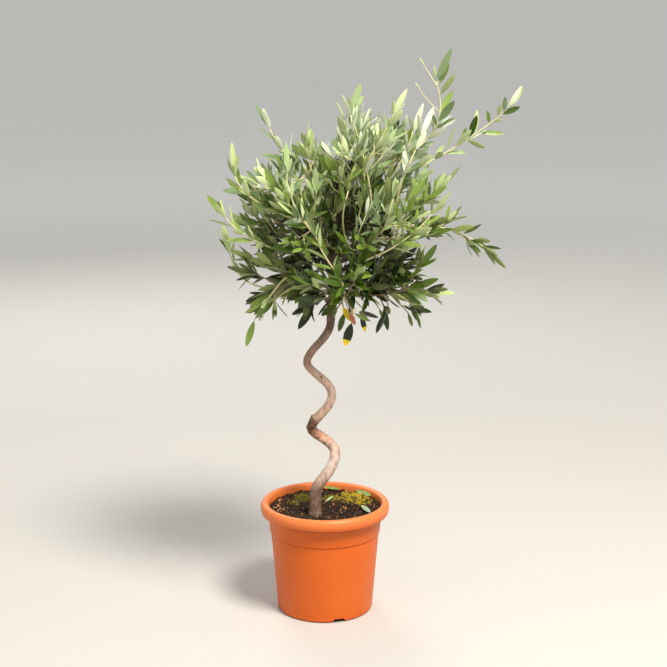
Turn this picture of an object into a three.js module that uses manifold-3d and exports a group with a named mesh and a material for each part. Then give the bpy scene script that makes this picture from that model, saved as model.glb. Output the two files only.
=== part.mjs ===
// A young olive tree with a corkscrew stem, in a terracotta-coloured plastic pot.
// Millimetres, +Z up. The origin is the middle of the pot's flat underside, and -Y is the front.
// The stem winds up from the potting mix to a leader with three rings of short boughs. Each bough, and the
// leader's tip, carries one mass of foliage: a stem with twigs that branch by a seeded rule, and leaves in
// opposite pairs. Each mass keeps to its own cell of the crown, so no two of them touch.

import * as THREE from "three";
import { mergeVertices } from "three/addons/utils/BufferGeometryUtils.js";
import Module from "manifold-3d";

const wasm = await Module();
wasm.setup();

const SEAT_GAP = 0.3; // between two pieces that rest on or grow out of each other

// The pot: a moulded container with a rolled lip and four drainage slots in the edge of its foot.
const LIP_RADIUS = 100;
const POT_HEIGHT = 173;
const LIP_DEPTH = 18;
const LIP_OVERHANG = 10;
const COLLAR_HEIGHT = 125; // the ledge where the collar under the lip begins
const COLLAR_RADIUS = 85.4;
const COLLAR_STEP = 1.2;
const FOOT_RADIUS = 74.4;
const FOOT_CHAMFER = 2.6;
const WALL = 2.2;
const FLOOR = 3;
const POT_SIDES = 44;
const SLOT_COUNT = 4;
const SLOT_FIRST = -73; // degrees from +X, towards the front
const SLOT_WIDTH = 23;
const SLOT_HEIGHT = 6.5;
const SLOT_DEPTH = 14;

// The potting mix, a little dished, with a level patch where the stem comes out.
const MIX_HEIGHT = 158;
const MIX_EDGE_RISE = 4;
const MIX_FLAT_RADIUS = 56;

// The stem: the height and sideways place of each half turn, then the leader above the last one.
const FOOT = { x: -15, y: -22 };
const HALF_TURNS = [
  [189, -15],
  [252, 16],
  [290, -20],
  [342, 11],
  [393, -27],
  [456, 9],
];
const TURN_DEPTH = 11;
const CENTRED_BY = 330; // by this height the stem is back over the pot's middle line
const FORK_HEIGHT = 478;
const LEADER_TIP = { x: 22, y: 0, z: 644 };
const STEM_GIRTH = [
  [158, 10.8],
  [164, 9.6],
  [205, 8.6],
  [252, 8],
  [300, 7.4],
  [342, 6.6],
  [393, 5.9],
  [456, 6.2],
  [FORK_HEIGHT, 7.8],
  [505, 5.8],
  [644, 2.7],
];
const STEM_SIDES = 10;
const STEM_STEP = 9;
const STUB = { height: 299, length: 15, base: 4.6, tip: 3.4, azimuth: 90, rise: 6 };

// The crown: its middle, its half sizes, and the three rings of masses round the leader.
const CROWN = new THREE.Vector3(26, 0, 616);
const CROWN_HALF = new THREE.Vector3(150, 136, 162);
const RINGS = [
  { tier: "low", count: 5, first: 198, from: 481, start: [30, 498], cell: [96, 512], tip: [108, 514] },
  { tier: "mid", count: 5, first: 162, from: 520, start: [36, 564], cell: [106, 604], tip: [116, 628] },
  { tier: "high", count: 4, first: 20, from: 566, start: [32, 634], cell: [84, 682], tip: [88, 718] },
];
const TOP = { cell: 722, tip: 756 };
const TWIG_LIFT = { low: 0.05, mid: 0.6, high: 1, top: 0.8 }; // how strongly twigs turn up
const SIDE_NAMES = ["right", "right_back", "back", "left_back", "left", "left_front", "front", "right_front"];
const BOUGH_GIRTH = [4, 2.4];
const BOUGH_SIDES = 6;
const BOUGH_STEPS = 5;
const BOUGH_SAG = 0.14;
const BOUGH_STAGGER = 7; // how far apart up the stem the boughs of one ring leave it

// Twigs. Each mass has a stem with slots for side twigs. The long shoots stand out of the crown's even
// outline: each takes one slot of its mass and runs to its own tip.
const FIRST_SEED = 1000;
const GOLDEN_ANGLE = 137.508;
const SLOT_JITTER = 50; // degrees
const TWIG_SLOTS = 12;
const TWIG_REGION = [0.05, 0.88]; // share of the stem that carries side twigs
const TWIG_LENGTH = [36, 92];
const TWIG_RIM = [0.62, 0.88]; // share of the crown's half size at which twigs end
const TWIG_STEP = 4;
const TWIG_SPREAD = [78, 34]; // degrees from the mass's stem, at its foot and at its tip
const TWIG_OUTWARDS = 0.45;
const SHOOT_SPREAD = 40;
const SHOOT_STIFFNESS = 0.15; // share of its length over which a shoot keeps its first heading
const TWIG_SHORTEST = 22;
const ROOM_SHARE = 1.3; // how much more room than its own thickness a twig keeps
const ROOM_START = 0.06; // where along a leaf its room begins
const TWIG_GIRTH = [1.3, 0.8];
const SHOOT_GIRTH = [1.7, 0.8];
const STALK_GIRTH = [2.2, 1.1];
const STALK_STEPS = 12;
const NODE_WIDTH = 2.8; // the stretch of a twig that a pair of leaves, or a side twig, grows from
const SHOOTS = [
  { on: "high_right", slot: 6, by: [166, 6, 736], tip: [176, 0, 818] },
  { on: "high_right", slot: 2, by: [170, 12, 690], tip: [246, 0, 772] },
  { on: "mid_right", slot: 6, by: [184, 22, 610], tip: [240, 10, 568] },
  { on: "mid_right", slot: 10, by: [152, 28, 636], tip: [178, 22, 658] },
  { on: "high_front", slot: 7, by: [82, -68, 734], tip: [98, -60, 768] },
  { on: "high_left", slot: 7, by: [-62, -28, 708], tip: [-80, -24, 748] },
  { on: "high_left", slot: 4, by: [-82, -24, 656], tip: [-106, -20, 656] },
  { on: "mid_left", slot: 8, by: [-86, 6, 590], tip: [-110, -4, 602] },
  { on: "low_left", slot: 7, by: [-78, -44, 504], tip: [-94, -54, 468] },
  { on: "low_right", slot: 8, by: [112, -28, 502], tip: [128, -30, 490] },
  { on: "top", slot: 6, by: [28, -6, 742], tip: [38, -8, 768] },
];

// Leaves, in opposite pairs, each pair a quarter turn on from the last.
const PAIR_SPACING = 16;
const PAIR_FIRST = 9; // the bare foot of a twig
const PAIR_TO_TIP = 6;
const LEAF_LENGTH = [42, 56];
const LEAF_WIDTH = 0.28; // as a share of length
const LEAF_THICKNESS = 1.3;
const LEAF_SPREAD = [56, 36]; // degrees from the twig, at its foot and at its tip
const LEAF_SPREAD_JITTER = 12;
const TIP_LEAF_LEAN = 9;
// Where a leaf has no room it is smaller, turned to one side of its face of the twig, or folded or spread.
const SIZE_TRIES = [1, 0.85, 0.72, 0.6];
const SIDE_TRY = 40; // degrees
const SPREAD_TRIES = [1, 0.6, 1.5];
const CELL_MARGIN = 0.6;
const LIMB_MARGIN = 0.5;

const COLOURS = {
  pot: [0xd4622a, 0.5],
  mix: [0x3a2c22, 1],
  bark: [0x8d7b6b, 0.9],
  leaf: [0x6f8150, 0.6],
};

const UP = new THREE.Vector3(0, 0, 1);
const rad = THREE.MathUtils.degToRad;
const mix = THREE.MathUtils.lerp;
const ring = (azimuth, radius, height) =>
  new THREE.Vector3(CROWN.x + radius * Math.cos(azimuth), radius * Math.sin(azimuth), height);

// A seeded stream of numbers from 0 to 1.
function stream(seed) {
  let state = seed >>> 0;
  return () => {
    state = (state + 0x6d2b79f5) >>> 0;
    let t = Math.imul(state ^ (state >>> 15), state | 1);
    t ^= t + Math.imul(t ^ (t >>> 7), t | 61);
    return ((t ^ (t >>> 14)) >>> 0) / 4294967296;
  };
}

// The value at x of a table of [x, value] rows, straight between rows.
function lookUp(table, x) {
  const next = table.findIndex(([at]) => at >= x);
  if (next === 0) return table[0][1];
  if (next < 0) return table[table.length - 1][1];
  const [x0, y0] = table[next - 1];
  const [x1, y1] = table[next];
  return mix(y0, y1, (x - x0) / (x1 - x0));
}

function geometryOf(points, faces) {
  const geometry = new THREE.BufferGeometry();
  geometry.setAttribute("position", new THREE.Float32BufferAttribute(points.flatMap((p) => p.toArray()), 3));
  geometry.setIndex(faces.flat());
  return geometry;
}

// A solid of a closed geometry, turned to face out.
function solidOf(geometry) {
  const bare = geometry.clone();
  bare.deleteAttribute("normal");
  bare.deleteAttribute("uv");
  const merged = mergeVertices(bare, 1e-4);
  const triVerts = new Uint32Array(merged.index.array);
  const vertProperties = merged.attributes.position.array;
  const solid = new wasm.Manifold(new wasm.Mesh({ numProp: 3, vertProperties, triVerts }));
  if (solid.volume() > 0) return solid;
  triVerts.reverse();
  return new wasm.Manifold(new wasm.Mesh({ numProp: 3, vertProperties, triVerts }));
}

// The largest body of a solid, without loose scraps or sealed hollows.
function mainBody(solid) {
  return solid.decompose().reduce((a, b) => (b.volume() > a.volume() ? b : a));
}

function meshOf(name, solid, finish) {
  const made = solid.getMesh();
  const geometry = new THREE.BufferGeometry();
  geometry.setAttribute("position", new THREE.Float32BufferAttribute(made.vertProperties, 3));
  geometry.setIndex(Array.from(made.triVerts));
  geometry.computeVertexNormals();
  const [color, roughness] = COLOURS[finish];
  const mesh = new THREE.Mesh(geometry, new THREE.MeshStandardMaterial({ color, roughness, metalness: 0 }));
  mesh.name = name;
  return mesh;
}

// The unit direction of a line of points at each point.
function directions(points) {
  return points.map((_, i) => {
    const before = points[Math.max(i - 1, 0)];
    const after = points[Math.min(i + 1, points.length - 1)];
    return after.clone().sub(before).normalize();
  });
}

function squareTo(direction) {
  const guide = Math.abs(direction.z) > 0.9 ? new THREE.Vector3(1, 0, 0) : UP;
  return guide.clone().cross(direction).normalize();
}

// A closed tube of changing radius round a line of points, with flat ends square to the line.
function tube(points, radii, sides) {
  const along = directions(points);
  const corners = [];
  const faces = [];
  let across = squareTo(along[0]);
  points.forEach((centre, i) => {
    across = across.sub(along[i].clone().multiplyScalar(across.dot(along[i]))).normalize();
    const other = along[i].clone().cross(across);
    for (let k = 0; k < sides; k++) {
      const turn = (2 * Math.PI * k) / sides;
      const spoke = across.clone().multiplyScalar(Math.cos(turn)).addScaledVector(other, Math.sin(turn));
      corners.push(centre.clone().addScaledVector(spoke, radii[i]));
    }
  });
  for (let i = 0; i + 1 < points.length; i++)
    for (let k = 0; k < sides; k++) {
      const [a, b] = [i * sides + k, i * sides + ((k + 1) % sides)];
      faces.push([a, b, b + sides], [a, b + sides, a + sides]);
    }
  const last = (points.length - 1) * sides;
  for (let k = 1; k + 1 < sides; k++) faces.push([0, k + 1, k], [last, last + k, last + k + 1]);
  return solidOf(geometryOf(corners, faces));
}

// Points evenly spread on a curve that leaves start along heading and ends at finish.
function sweep(start, heading, finish, count) {
  const reach = start.distanceTo(finish);
  const pull = start.clone().addScaledVector(heading, reach * 0.5);
  return new THREE.QuadraticBezierCurve3(start, pull, finish).getPoints(count);
}

const taper = (girth, count) =>
  Array.from({ length: count }, (_, i) => mix(girth[0], girth[1], i / (count - 1)));

// The room that a limb needs, a little more than its own thickness.
function reachOf(points, radii, sides) {
  const box = boxOf(points).expandByScalar(Math.max(...radii) + LIMB_MARGIN);
  return { box, solid: tube(points, radii.map((r) => r + LIMB_MARGIN), sides) };
}

// The inside of the pot, as [radius, height] from the floor's edge to the lip.
const wallSlope = (COLLAR_RADIUS - COLLAR_STEP - FOOT_RADIUS) / (COLLAR_HEIGHT - 1);
const lipWallRadius = LIP_RADIUS - LIP_OVERHANG;
const potInside = [
  [FOOT_RADIUS - FOOT_CHAMFER - 1.5, FLOOR],
  [FOOT_RADIUS - WALL + 5 * wallSlope, FLOOR + 5],
  [COLLAR_RADIUS - COLLAR_STEP - WALL, COLLAR_HEIGHT - 1],
  [COLLAR_RADIUS - WALL + 0.2, COLLAR_HEIGHT + 0.6],
  [lipWallRadius - WALL, POT_HEIGHT - 4],
];

function pot() {
  const skirtFoot = POT_HEIGHT - LIP_DEPTH;
  const outside = [
    [0, 0],
    [FOOT_RADIUS - FOOT_CHAMFER, 0],
    [FOOT_RADIUS - 0.3, FOOT_CHAMFER],
    [FOOT_RADIUS, FOOT_CHAMFER + 4],
    [COLLAR_RADIUS - COLLAR_STEP, COLLAR_HEIGHT - 1],
    [COLLAR_RADIUS, COLLAR_HEIGHT],
    [lipWallRadius, POT_HEIGHT - 5],
    [LIP_RADIUS - 3.8, POT_HEIGHT - 6],
    [LIP_RADIUS - 4, skirtFoot],
    [LIP_RADIUS - 2, skirtFoot],
    [LIP_RADIUS - 0.3, skirtFoot + 5],
    [LIP_RADIUS, skirtFoot + 10],
    [LIP_RADIUS - 0.8, POT_HEIGHT - 5],
    [LIP_RADIUS - 3.2, POT_HEIGHT - 1.3],
    [LIP_RADIUS - 7, POT_HEIGHT],
  ];
  const profile = [...outside, ...[...potInside].reverse(), [0, FLOOR]];
  const lathe = new THREE.LatheGeometry(profile.map(([r, z]) => new THREE.Vector2(r, z)), POT_SIDES);
  lathe.rotateX(Math.PI / 2);
  let body = solidOf(lathe);
  for (let i = 0; i < SLOT_COUNT; i++) {
    const slot = new THREE.BoxGeometry(2 * SLOT_DEPTH, SLOT_WIDTH, 2 * SLOT_HEIGHT);
    const turn = rad(SLOT_FIRST + (360 / SLOT_COUNT) * i);
    slot.translate(FOOT_RADIUS, 0, 0).rotateZ(turn);
    body = body.subtract(solidOf(slot));
  }
  return meshOf("pot", body, "pot");
}

function pottingMix() {
  const side = potInside.map(([r, z]) => [r - SEAT_GAP, Math.max(z, FLOOR + SEAT_GAP)]);
  const rise = MIX_HEIGHT + MIX_EDGE_RISE;
  const topRadius = mix(side[3][0], side[4][0], (rise - side[3][1]) / (side[4][1] - side[3][1]));
  const profile = [
    [0, FLOOR + SEAT_GAP],
    ...side.slice(0, 4),
    [topRadius, rise],
    [topRadius - 9, rise - 0.6],
    [MIX_FLAT_RADIUS, MIX_HEIGHT],
    [0, MIX_HEIGHT],
  ];
  const lathe = new THREE.LatheGeometry(profile.map(([r, z]) => new THREE.Vector2(r, z)), POT_SIDES);
  lathe.rotateX(Math.PI / 2);
  return meshOf("potting_mix", solidOf(lathe), "mix");
}

// The middle of the stem at a height: half turns drawn out of cosines, and deeper than a front view shows.
function stemPlace(height) {
  const [lowest] = HALF_TURNS;
  const highest = HALF_TURNS[HALF_TURNS.length - 1];
  const settled = THREE.MathUtils.smoothstep(height, MIX_HEIGHT, CENTRED_BY);
  const middle = mix(FOOT.y, 0, settled);
  if (height <= lowest[0]) return new THREE.Vector3(FOOT.x, middle, height);
  if (height >= highest[0]) {
    const share = (height - highest[0]) / (LEADER_TIP.z - highest[0]);
    const sway = 3 * Math.sin(3 * Math.PI * share);
    return new THREE.Vector3(mix(highest[1], LEADER_TIP.x, share), mix(0, LEADER_TIP.y, share) + sway, height);
  }
  const i = HALF_TURNS.findIndex(([at]) => at > height) - 1;
  const [[z0, x0], [z1, x1]] = [HALF_TURNS[i], HALF_TURNS[i + 1]];
  const share = (height - z0) / (z1 - z0);
  const side = x1 > x0 ? -1 : 1; // it comes round the front on its way to the right
  const depth = side * TURN_DEPTH * Math.sin(Math.PI * share);
  return new THREE.Vector3(mix(x0, x1, (1 - Math.cos(Math.PI * share)) / 2), middle + depth, height);
}

function trunk() {
  const foot = MIX_HEIGHT + SEAT_GAP;
  const steps = Math.round((LEADER_TIP.z - foot) / STEM_STEP);
  const heights = Array.from({ length: steps + 1 }, (_, i) => mix(foot, LEADER_TIP.z, i / steps));
  const points = heights.map(stemPlace);
  const radii = heights.map((z) => lookUp(STEM_GIRTH, z));
  const azimuth = rad(STUB.azimuth);
  const heading = new THREE.Vector3(Math.cos(azimuth), Math.sin(azimuth), STUB.rise).normalize();
  const stubFoot = stemPlace(STUB.height);
  const stubTip = stubFoot.clone().addScaledVector(heading, STUB.length);
  const stub = tube([stubFoot, stubTip], [STUB.base, STUB.tip], 8);
  const level = new THREE.BoxGeometry(60, 60, 20).translate(FOOT.x, FOOT.y, foot - 10);
  const solid = tube(points, radii, STEM_SIDES).add(stub).subtract(solidOf(level));
  return { points, radii, solid, reach: reachOf(points, radii, STEM_SIDES) };
}

// Every mass's place in the crown: where its bough leaves the stem, where it starts, its cell and its tip.
function crownPlan() {
  const plan = [];
  RINGS.forEach((row) => {
    for (let i = 0; i < row.count; i++) {
      const degrees = (row.first + (360 / row.count) * i) % 360;
      const azimuth = rad(degrees);
      plan.push({
        name: `${row.tier}_${SIDE_NAMES[Math.round(degrees / 45) % 8]}`,
        root: stemPlace(row.from + BOUGH_STAGGER * ((i * 2) % row.count)),
        start: ring(azimuth, ...row.start),
        seat: ring(azimuth, ...row.cell),
        tip: ring(azimuth, ...row.tip),
        lift: TWIG_LIFT[row.tier],
      });
    }
  });
  plan.push({ name: "top", seat: ring(0, 0, TOP.cell), tip: ring(0, 0, TOP.tip), lift: TWIG_LIFT.top });
  return plan;
}

// A bough: one limb that leaves the stem outwards, sags a little and rises to its mass.
function bough(mass, stem) {
  const span = mass.root.distanceTo(mass.start);
  const pull = mass.root.clone().lerp(mass.start, 0.5).addScaledVector(UP, -BOUGH_SAG * span);
  const points = new THREE.QuadraticBezierCurve3(mass.root, pull, mass.start).getPoints(BOUGH_STEPS);
  const radii = taper(BOUGH_GIRTH, points.length);
  const clearance = tube(stem.points, stem.radii.map((r) => r + SEAT_GAP), STEM_SIDES);
  const solid = mainBody(tube(points, radii, BOUGH_SIDES).subtract(clearance));
  return { points, radii, solid, reach: reachOf(points, radii, BOUGH_SIDES) };
}

const inCell = (point, mass, plan, margin) =>
  plan.every((other) => {
    if (other === mass) return true;
    const apart = mass.seat.distanceTo(other.seat);
    const nearer = point.distanceToSquared(other.seat) - point.distanceToSquared(mass.seat);
    return nearer / (2 * apart) > margin;
  });

// How far out a point lies: 1 on the crown's even outline.
const outwardness = (point) => point.clone().sub(CROWN).divide(CROWN_HALF).length();

// The angle nearest to a given one, in degrees, that differs from another by whole turns of a third.
const nearestThird = (angle, near) => angle - 120 * Math.round((angle - near) / 120);

// The rings of three corners round a line: one at its foot, two at each node, and one at its tip. A node's
// lower ring has a corner under what grows there, and its upper ring is turned by a sixth, so that the face
// between them is a triangle that stands on that corner.
function ringsOf(line, girth, nodes, firstAcross) {
  const curve = new THREE.CatmullRomCurve3(line);
  const length = curve.getLength();
  const rings = [];
  const add = (at, turn) => {
    const along = curve.getTangentAt(at / length);
    const guide = rings.length ? rings[rings.length - 1].across : firstAcross;
    const across = guide.clone().sub(along.clone().multiplyScalar(guide.dot(along))).normalize();
    const centre = curve.getPointAt(at / length);
    const radius = mix(girth[0], girth[1], at / length);
    rings.push({ centre, along, across, turn, share: at / length, radius });
  };
  add(0, 0);
  nodes.forEach(({ at, corner }) => {
    const turn = nearestThird(corner, rings[rings.length - 1].turn);
    add(at - NODE_WIDTH / 2, turn);
    add(at + NODE_WIDTH / 2, turn - 60);
  });
  add(length, rings[rings.length - 1].turn);
  return rings;
}

// The direction out of a ring at so many degrees round it.
function spoke({ along, across }, degrees) {
  const other = along.clone().cross(across);
  return across.clone().multiplyScalar(Math.cos(rad(degrees))).addScaledVector(other, Math.sin(rad(degrees)));
}

// What grows out of a ring leans away from its direction: the heading, and the face that it turns up.
function leaning(ring, side, spread) {
  const out = spoke(ring, side);
  const [near, far] = [Math.cos(rad(spread)), Math.sin(rad(spread))];
  const heading = ring.along.clone().multiplyScalar(near).addScaledVector(out, far);
  const face = ring.along.clone().multiplyScalar(far).addScaledVector(out, -near);
  return { heading, face };
}

// A side twig turns outwards and up, and ends where it meets its share of the crown's outline.
function twigLine(mass, foot, heading, random) {
  const outwards = foot.clone().sub(CROWN).normalize();
  const later = heading.clone().addScaledVector(outwards, TWIG_OUTWARDS).addScaledVector(UP, mass.lift);
  later.normalize();
  const rim = mix(TWIG_RIM[0], TWIG_RIM[1], random());
  const line = [foot];
  const point = foot.clone();
  for (let length = 0; length < TWIG_LENGTH[1]; length += TWIG_STEP) {
    const way = heading.clone().lerp(later, length / TWIG_LENGTH[1]).normalize();
    point.addScaledVector(way, TWIG_STEP);
    if (length > TWIG_LENGTH[0] && outwardness(point) > rim) break;
    line.push(point.clone());
  }
  return line;
}

// A long shoot leaves the mass's stem along its heading and runs by one point to its tip.
function shootLine(shoot, foot, heading) {
  const tip = new THREE.Vector3(...shoot.tip);
  const reach = foot.distanceTo(tip);
  const out = foot.clone().addScaledVector(heading, reach * SHOOT_STIFFNESS);
  const by = new THREE.Vector3(...shoot.by);
  return new THREE.CubicBezierCurve3(foot, out, by, tip).getPoints(Math.round(reach / TWIG_STEP));
}

// The three sides between two loops of three corners, each cut along the diagonal that keeps it bulging out. A
// side can be left open for something to grow from.
function addBand(surface, lower, upper, open = []) {
  for (let k = 0; k < 3; k++) {
    const next = (k + 1) % 3;
    const [a, b, c, d] = [lower[k], lower[next], upper[next], upper[k]];
    const [p, q, r, s] = [a, b, c, d].map((i) => surface.corners[i]);
    const outwards = new THREE.Plane().setFromCoplanarPoints(p, q, r);
    if (open.includes(k)) surface.faces.push([a, b, c]);
    else if (outwards.distanceToPoint(s) <= 0) surface.faces.push([a, b, c], [a, c, d]);
    else surface.faces.push([a, b, d], [b, c, d]);
  }
}

function addCorners(surface, points) {
  const first = surface.corners.push(...points) - points.length;
  return points.map((_, i) => first + i);
}

const ringCorners = (ring) =>
  [0, 120, 240].map((step) => ring.centre.clone().addScaledVector(spoke(ring, ring.turn + step), ring.radius));

// A leaf's keel, its right and left edges and its tip: a blade that is widest half way and runs to a point.
function leafShape(foot, { heading, face }, size) {
  const right = face.clone().cross(heading);
  const at = (share, across, up) =>
    foot.clone().addScaledVector(heading, share * size).addScaledVector(right, across).addScaledVector(face, up);
  const half = (size * LEAF_WIDTH) / 2;
  return [at(0.48, 0, -LEAF_THICKNESS), at(0.52, half, 0), at(0.52, -half, 0), at(1, 0, 0)];
}

const middleOf = (points) =>
  points.reduce((sum, p) => sum.add(p), new THREE.Vector3()).divideScalar(points.length);

// A leaf takes the place of one face of its twig, so that both are one closed surface. The face looks out at
// middle, and the leaf leans to side, both in degrees round the ring.
function growLeaf(surface, base, { ring, middle, side, spread }, random, fits) {
  const feet = base.map((i) => surface.corners[i]);
  const foot = middleOf(feet);
  const length = mix(LEAF_LENGTH[0], LEAF_LENGTH[1], random());
  const sides = [side, middle + SIDE_TRY, middle - SIDE_TRY];
  const ways = sides.flatMap((each) => SPREAD_TRIES.map((share) => leaning(ring, each, spread * share)));
  const shapes = SIZE_TRIES.flatMap((size) => ways.map((way) => leafShape(foot, way, length * size)));
  const shape = shapes.find((each) => fits(feet, each));
  if (!shape) {
    surface.faces.push(base);
    return;
  }
  const [keel, right, left, tip] = addCorners(surface, shape);
  addBand(surface, base, [keel, right, left]);
  surface.faces.push([keel, right, tip], [right, left, tip], [left, keel, tip]);
}

// A twig with its growths: at each node, what grows out of it on which side, and a leaf at the tip.
function growTwig(surface, base, rings, growths, random, fits) {
  let lower = base;
  rings.forEach((ring, i) => {
    const upper = addCorners(surface, ringCorners(ring));
    const here = i > 1 && i % 2 === 0 ? growths[i / 2 - 1] ?? [] : [];
    const faces = here.map(({ side }) => Math.floor(turned(side - rings[i - 1].turn + 60) / 120));
    if (lower) addBand(surface, lower, upper, faces);
    else surface.faces.push([upper[0], upper[2], upper[1]]);
    here.forEach(({ grow }, n) => {
      const k = faces[n];
      grow([lower[k], upper[(k + 1) % 3], upper[k]], rings[i - 1].turn + 120 * k);
    });
    lower = upper;
  });
  const ring = rings[rings.length - 1];
  const lean = { ring, middle: ring.turn, side: ring.turn, spread: TIP_LEAF_LEAN };
  growLeaf(surface, lower, lean, random, fits);
}

const turned = (degrees) => ((degrees % 360) + 360) % 360;

// The pairs of leaves on a twig: how far up it they stand, and the side that the first of each pair leans to.
function leafPairs(length, firstSide) {
  const count = Math.max(Math.floor((length - PAIR_FIRST) / PAIR_SPACING), 1);
  return Array.from({ length: count }, (_, k) => {
    const side = firstSide + 90 * k;
    return { at: length - PAIR_TO_TIP - (count - 1 - k) * PAIR_SPACING, side, corner: side - 30 };
  });
}

function leafPair(surface, ring, firstSide, random, fits) {
  return [firstSide, firstSide + 180].map((side) => {
    const spread = mix(LEAF_SPREAD[0], LEAF_SPREAD[1], ring.share) + LEAF_SPREAD_JITTER * (random() - 0.5);
    const grow = (base, middle) => growLeaf(surface, base, { ring, middle, side, spread }, random, fits);
    return { side, grow };
  });
}

const boxOf = (points) => new THREE.Box3().setFromPoints(points);
const touches = (a, b) => a.box.intersectsBox(b.box) && !a.solid.intersect(b.solid).isEmpty();
const lengthOf = (line) => line.reduce((sum, p, i) => (i ? sum + p.distanceTo(line[i - 1]) : 0), 0);

// The room that a bare twig or a leaf takes, as a solid with its box, to see what it would touch.
function twigRoom(rings) {
  const centres = rings.map(({ centre }) => centre);
  const radii = rings.map(({ radius }) => radius * ROOM_SHARE);
  return { box: boxOf(centres).expandByScalar(Math.max(...radii)), solid: tube(centres, radii, 4) };
}

function leafRoom(feet, shape) {
  const near = feet.map((foot, i) => foot.clone().lerp(shape[i], ROOM_START));
  const surface = { corners: [...near, ...shape], faces: [[0, 2, 1]] };
  addBand(surface, [0, 1, 2], [3, 4, 5]);
  surface.faces.push([3, 4, 6], [4, 5, 6], [5, 3, 6]);
  return { box: boxOf(surface.corners), solid: solidOf(geometryOf(surface.corners, surface.faces)) };
}

// A side twig or a long shoot of a mass, as a line that stops where it would leave the mass's cell.
function sideTwig(mass, plan, ring, side, shoot, random) {
  const girth = shoot ? SHOOT_GIRTH : TWIG_GIRTH;
  const spread = shoot ? SHOOT_SPREAD : mix(TWIG_SPREAD[0], TWIG_SPREAD[1], ring.share);
  const way = leaning(ring, side, spread);
  const clear = (ring.radius + girth[0]) / Math.sin(rad(spread));
  const foot = ring.centre.clone().addScaledVector(way.heading, clear);
  const line = shoot ? shootLine(shoot, foot, way.heading) : twigLine(mass, foot, way.heading, random);
  const out = line.findIndex((point) => !inCell(point, mass, plan, girth[0] + CELL_MARGIN));
  const kept = out < 0 ? line : line.slice(0, out);
  if (kept.length * TWIG_STEP < TWIG_SHORTEST) return undefined;
  const pairs = leafPairs(lengthOf(kept), 360 * random());
  const rings = ringsOf(kept, girth, pairs, way.face.clone().negate());
  return { side, shoot, pairs, rings, room: twigRoom(rings), outerRoom: twigRoom(rings.slice(1)) };
}

// The side twigs that there is room for, clear of the limbs and of each other. The long shoots choose first.
function clearTwigs(twigs, rooms) {
  const kept = [];
  const present = twigs.filter(Boolean);
  const inTurn = [...present.filter(({ shoot }) => shoot), ...present.filter(({ shoot }) => !shoot)];
  inTurn.forEach((twig) => {
    if (rooms.some((room) => touches(room, twig.outerRoom))) return;
    if (!kept.some(({ room }) => touches(room, twig.room))) kept.push(twig);
  });
  return kept;
}

// The slots of a mass's stem, round it by the golden angle, and the long shoots that take some of them.
function twigSlots(mass, length, random) {
  return Array.from({ length: TWIG_SLOTS }, (_, i) => {
    const at = length * mix(TWIG_REGION[0], TWIG_REGION[1], i / (TWIG_SLOTS - 1));
    const side = GOLDEN_ANGLE * i + SLOT_JITTER * random();
    const shoot = SHOOTS.find(({ on, slot }) => on === mass.name && slot === i);
    return { at, side, corner: side, shoot };
  });
}

// The side of a ring that faces a point, in degrees.
function sideTowards(ring, place) {
  const way = new THREE.Vector3(...place).sub(ring.centre);
  const other = ring.along.clone().cross(ring.across);
  return turned(THREE.MathUtils.radToDeg(Math.atan2(way.dot(other), way.dot(ring.across))));
}

// The stem of a mass, which carries on from its bough or from the leader. Each long shoot's slot is turned to
// face the shoot's tip, and the stem ends in a pair of leaves and a tip leaf.
function massStem(mass, carrier, random) {
  const end = carrier.points[carrier.points.length - 1];
  const endWay = directions(carrier.points)[carrier.points.length - 1];
  const line = sweep(end.clone().addScaledVector(endWay, SEAT_GAP), endWay, mass.tip, STALK_STEPS);
  const length = lengthOf(line);
  const seeded = twigSlots(mass, length, random);
  const seededRings = ringsOf(line, STALK_GIRTH, seeded, squareTo(endWay));
  const slots = seeded.map((slot, i) => {
    const side = slot.shoot ? sideTowards(seededRings[2 * i + 1], slot.shoot.tip) : slot.side;
    return { ...slot, side, corner: side };
  });
  const pairSide = 360 * random();
  const topPair = { at: length - PAIR_TO_TIP, side: pairSide, corner: pairSide - 30 };
  const rings = ringsOf(line, STALK_GIRTH, [...slots, topPair], squareTo(endWay));
  return { slots, topPair, rings, room: twigRoom(rings) };
}

// One mass of foliage: its stem, and the twigs, shoots and leaves that grow out of it in one closed surface. A
// twig ends where it would leave its cell. A twig or leaf that would touch a limb or another one is left out.
function foliage(mass, number, limbs, plan, carrier) {
  const random = stream(FIRST_SEED + number);
  const { slots, topPair, rings, room } = massStem(mass, carrier, random);
  const limbRooms = limbs.map((limb) => limb.reach);
  const twigs = slots.map(({ side, shoot }, i) => sideTwig(mass, plan, rings[2 * i + 1], side, shoot, random));
  const kept = clearTwigs(twigs, [room, ...limbRooms]);
  const surface = { corners: [], faces: [] };
  const placed = [];
  const fitsOn = (own) => (feet, shape) => {
    if (![...feet, ...shape].every((p) => inCell(p, mass, plan, CELL_MARGIN))) return false;
    const leaf = leafRoom(feet, shape);
    const others = kept.filter((twig) => twig !== own).map((twig) => twig.room);
    const near = own ? [...limbRooms, ...others, ...placed, room] : [...limbRooms, ...others, ...placed];
    if (near.some((other) => touches(other, leaf))) return false;
    placed.push(leaf);
    return true;
  };
  const growSide = (twig) => (base) => {
    const fits = fitsOn(twig);
    const pairOn = ({ side }, k) => leafPair(surface, twig.rings[2 * k + 1], side, random, fits);
    const growths = twig.pairs.map(pairOn);
    growTwig(surface, base, twig.rings, growths, random, fits);
  };
  const sides = twigs.map((twig) => (kept.includes(twig) ? [{ side: twig.side, grow: growSide(twig) }] : []));
  const tipLeaves = leafPair(surface, rings[rings.length - 3], topPair.side, random, fitsOn());
  growTwig(surface, undefined, rings, [...sides, tipLeaves], random, fitsOn());
  return solidOf(geometryOf(surface.corners, surface.faces));
}

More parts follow.
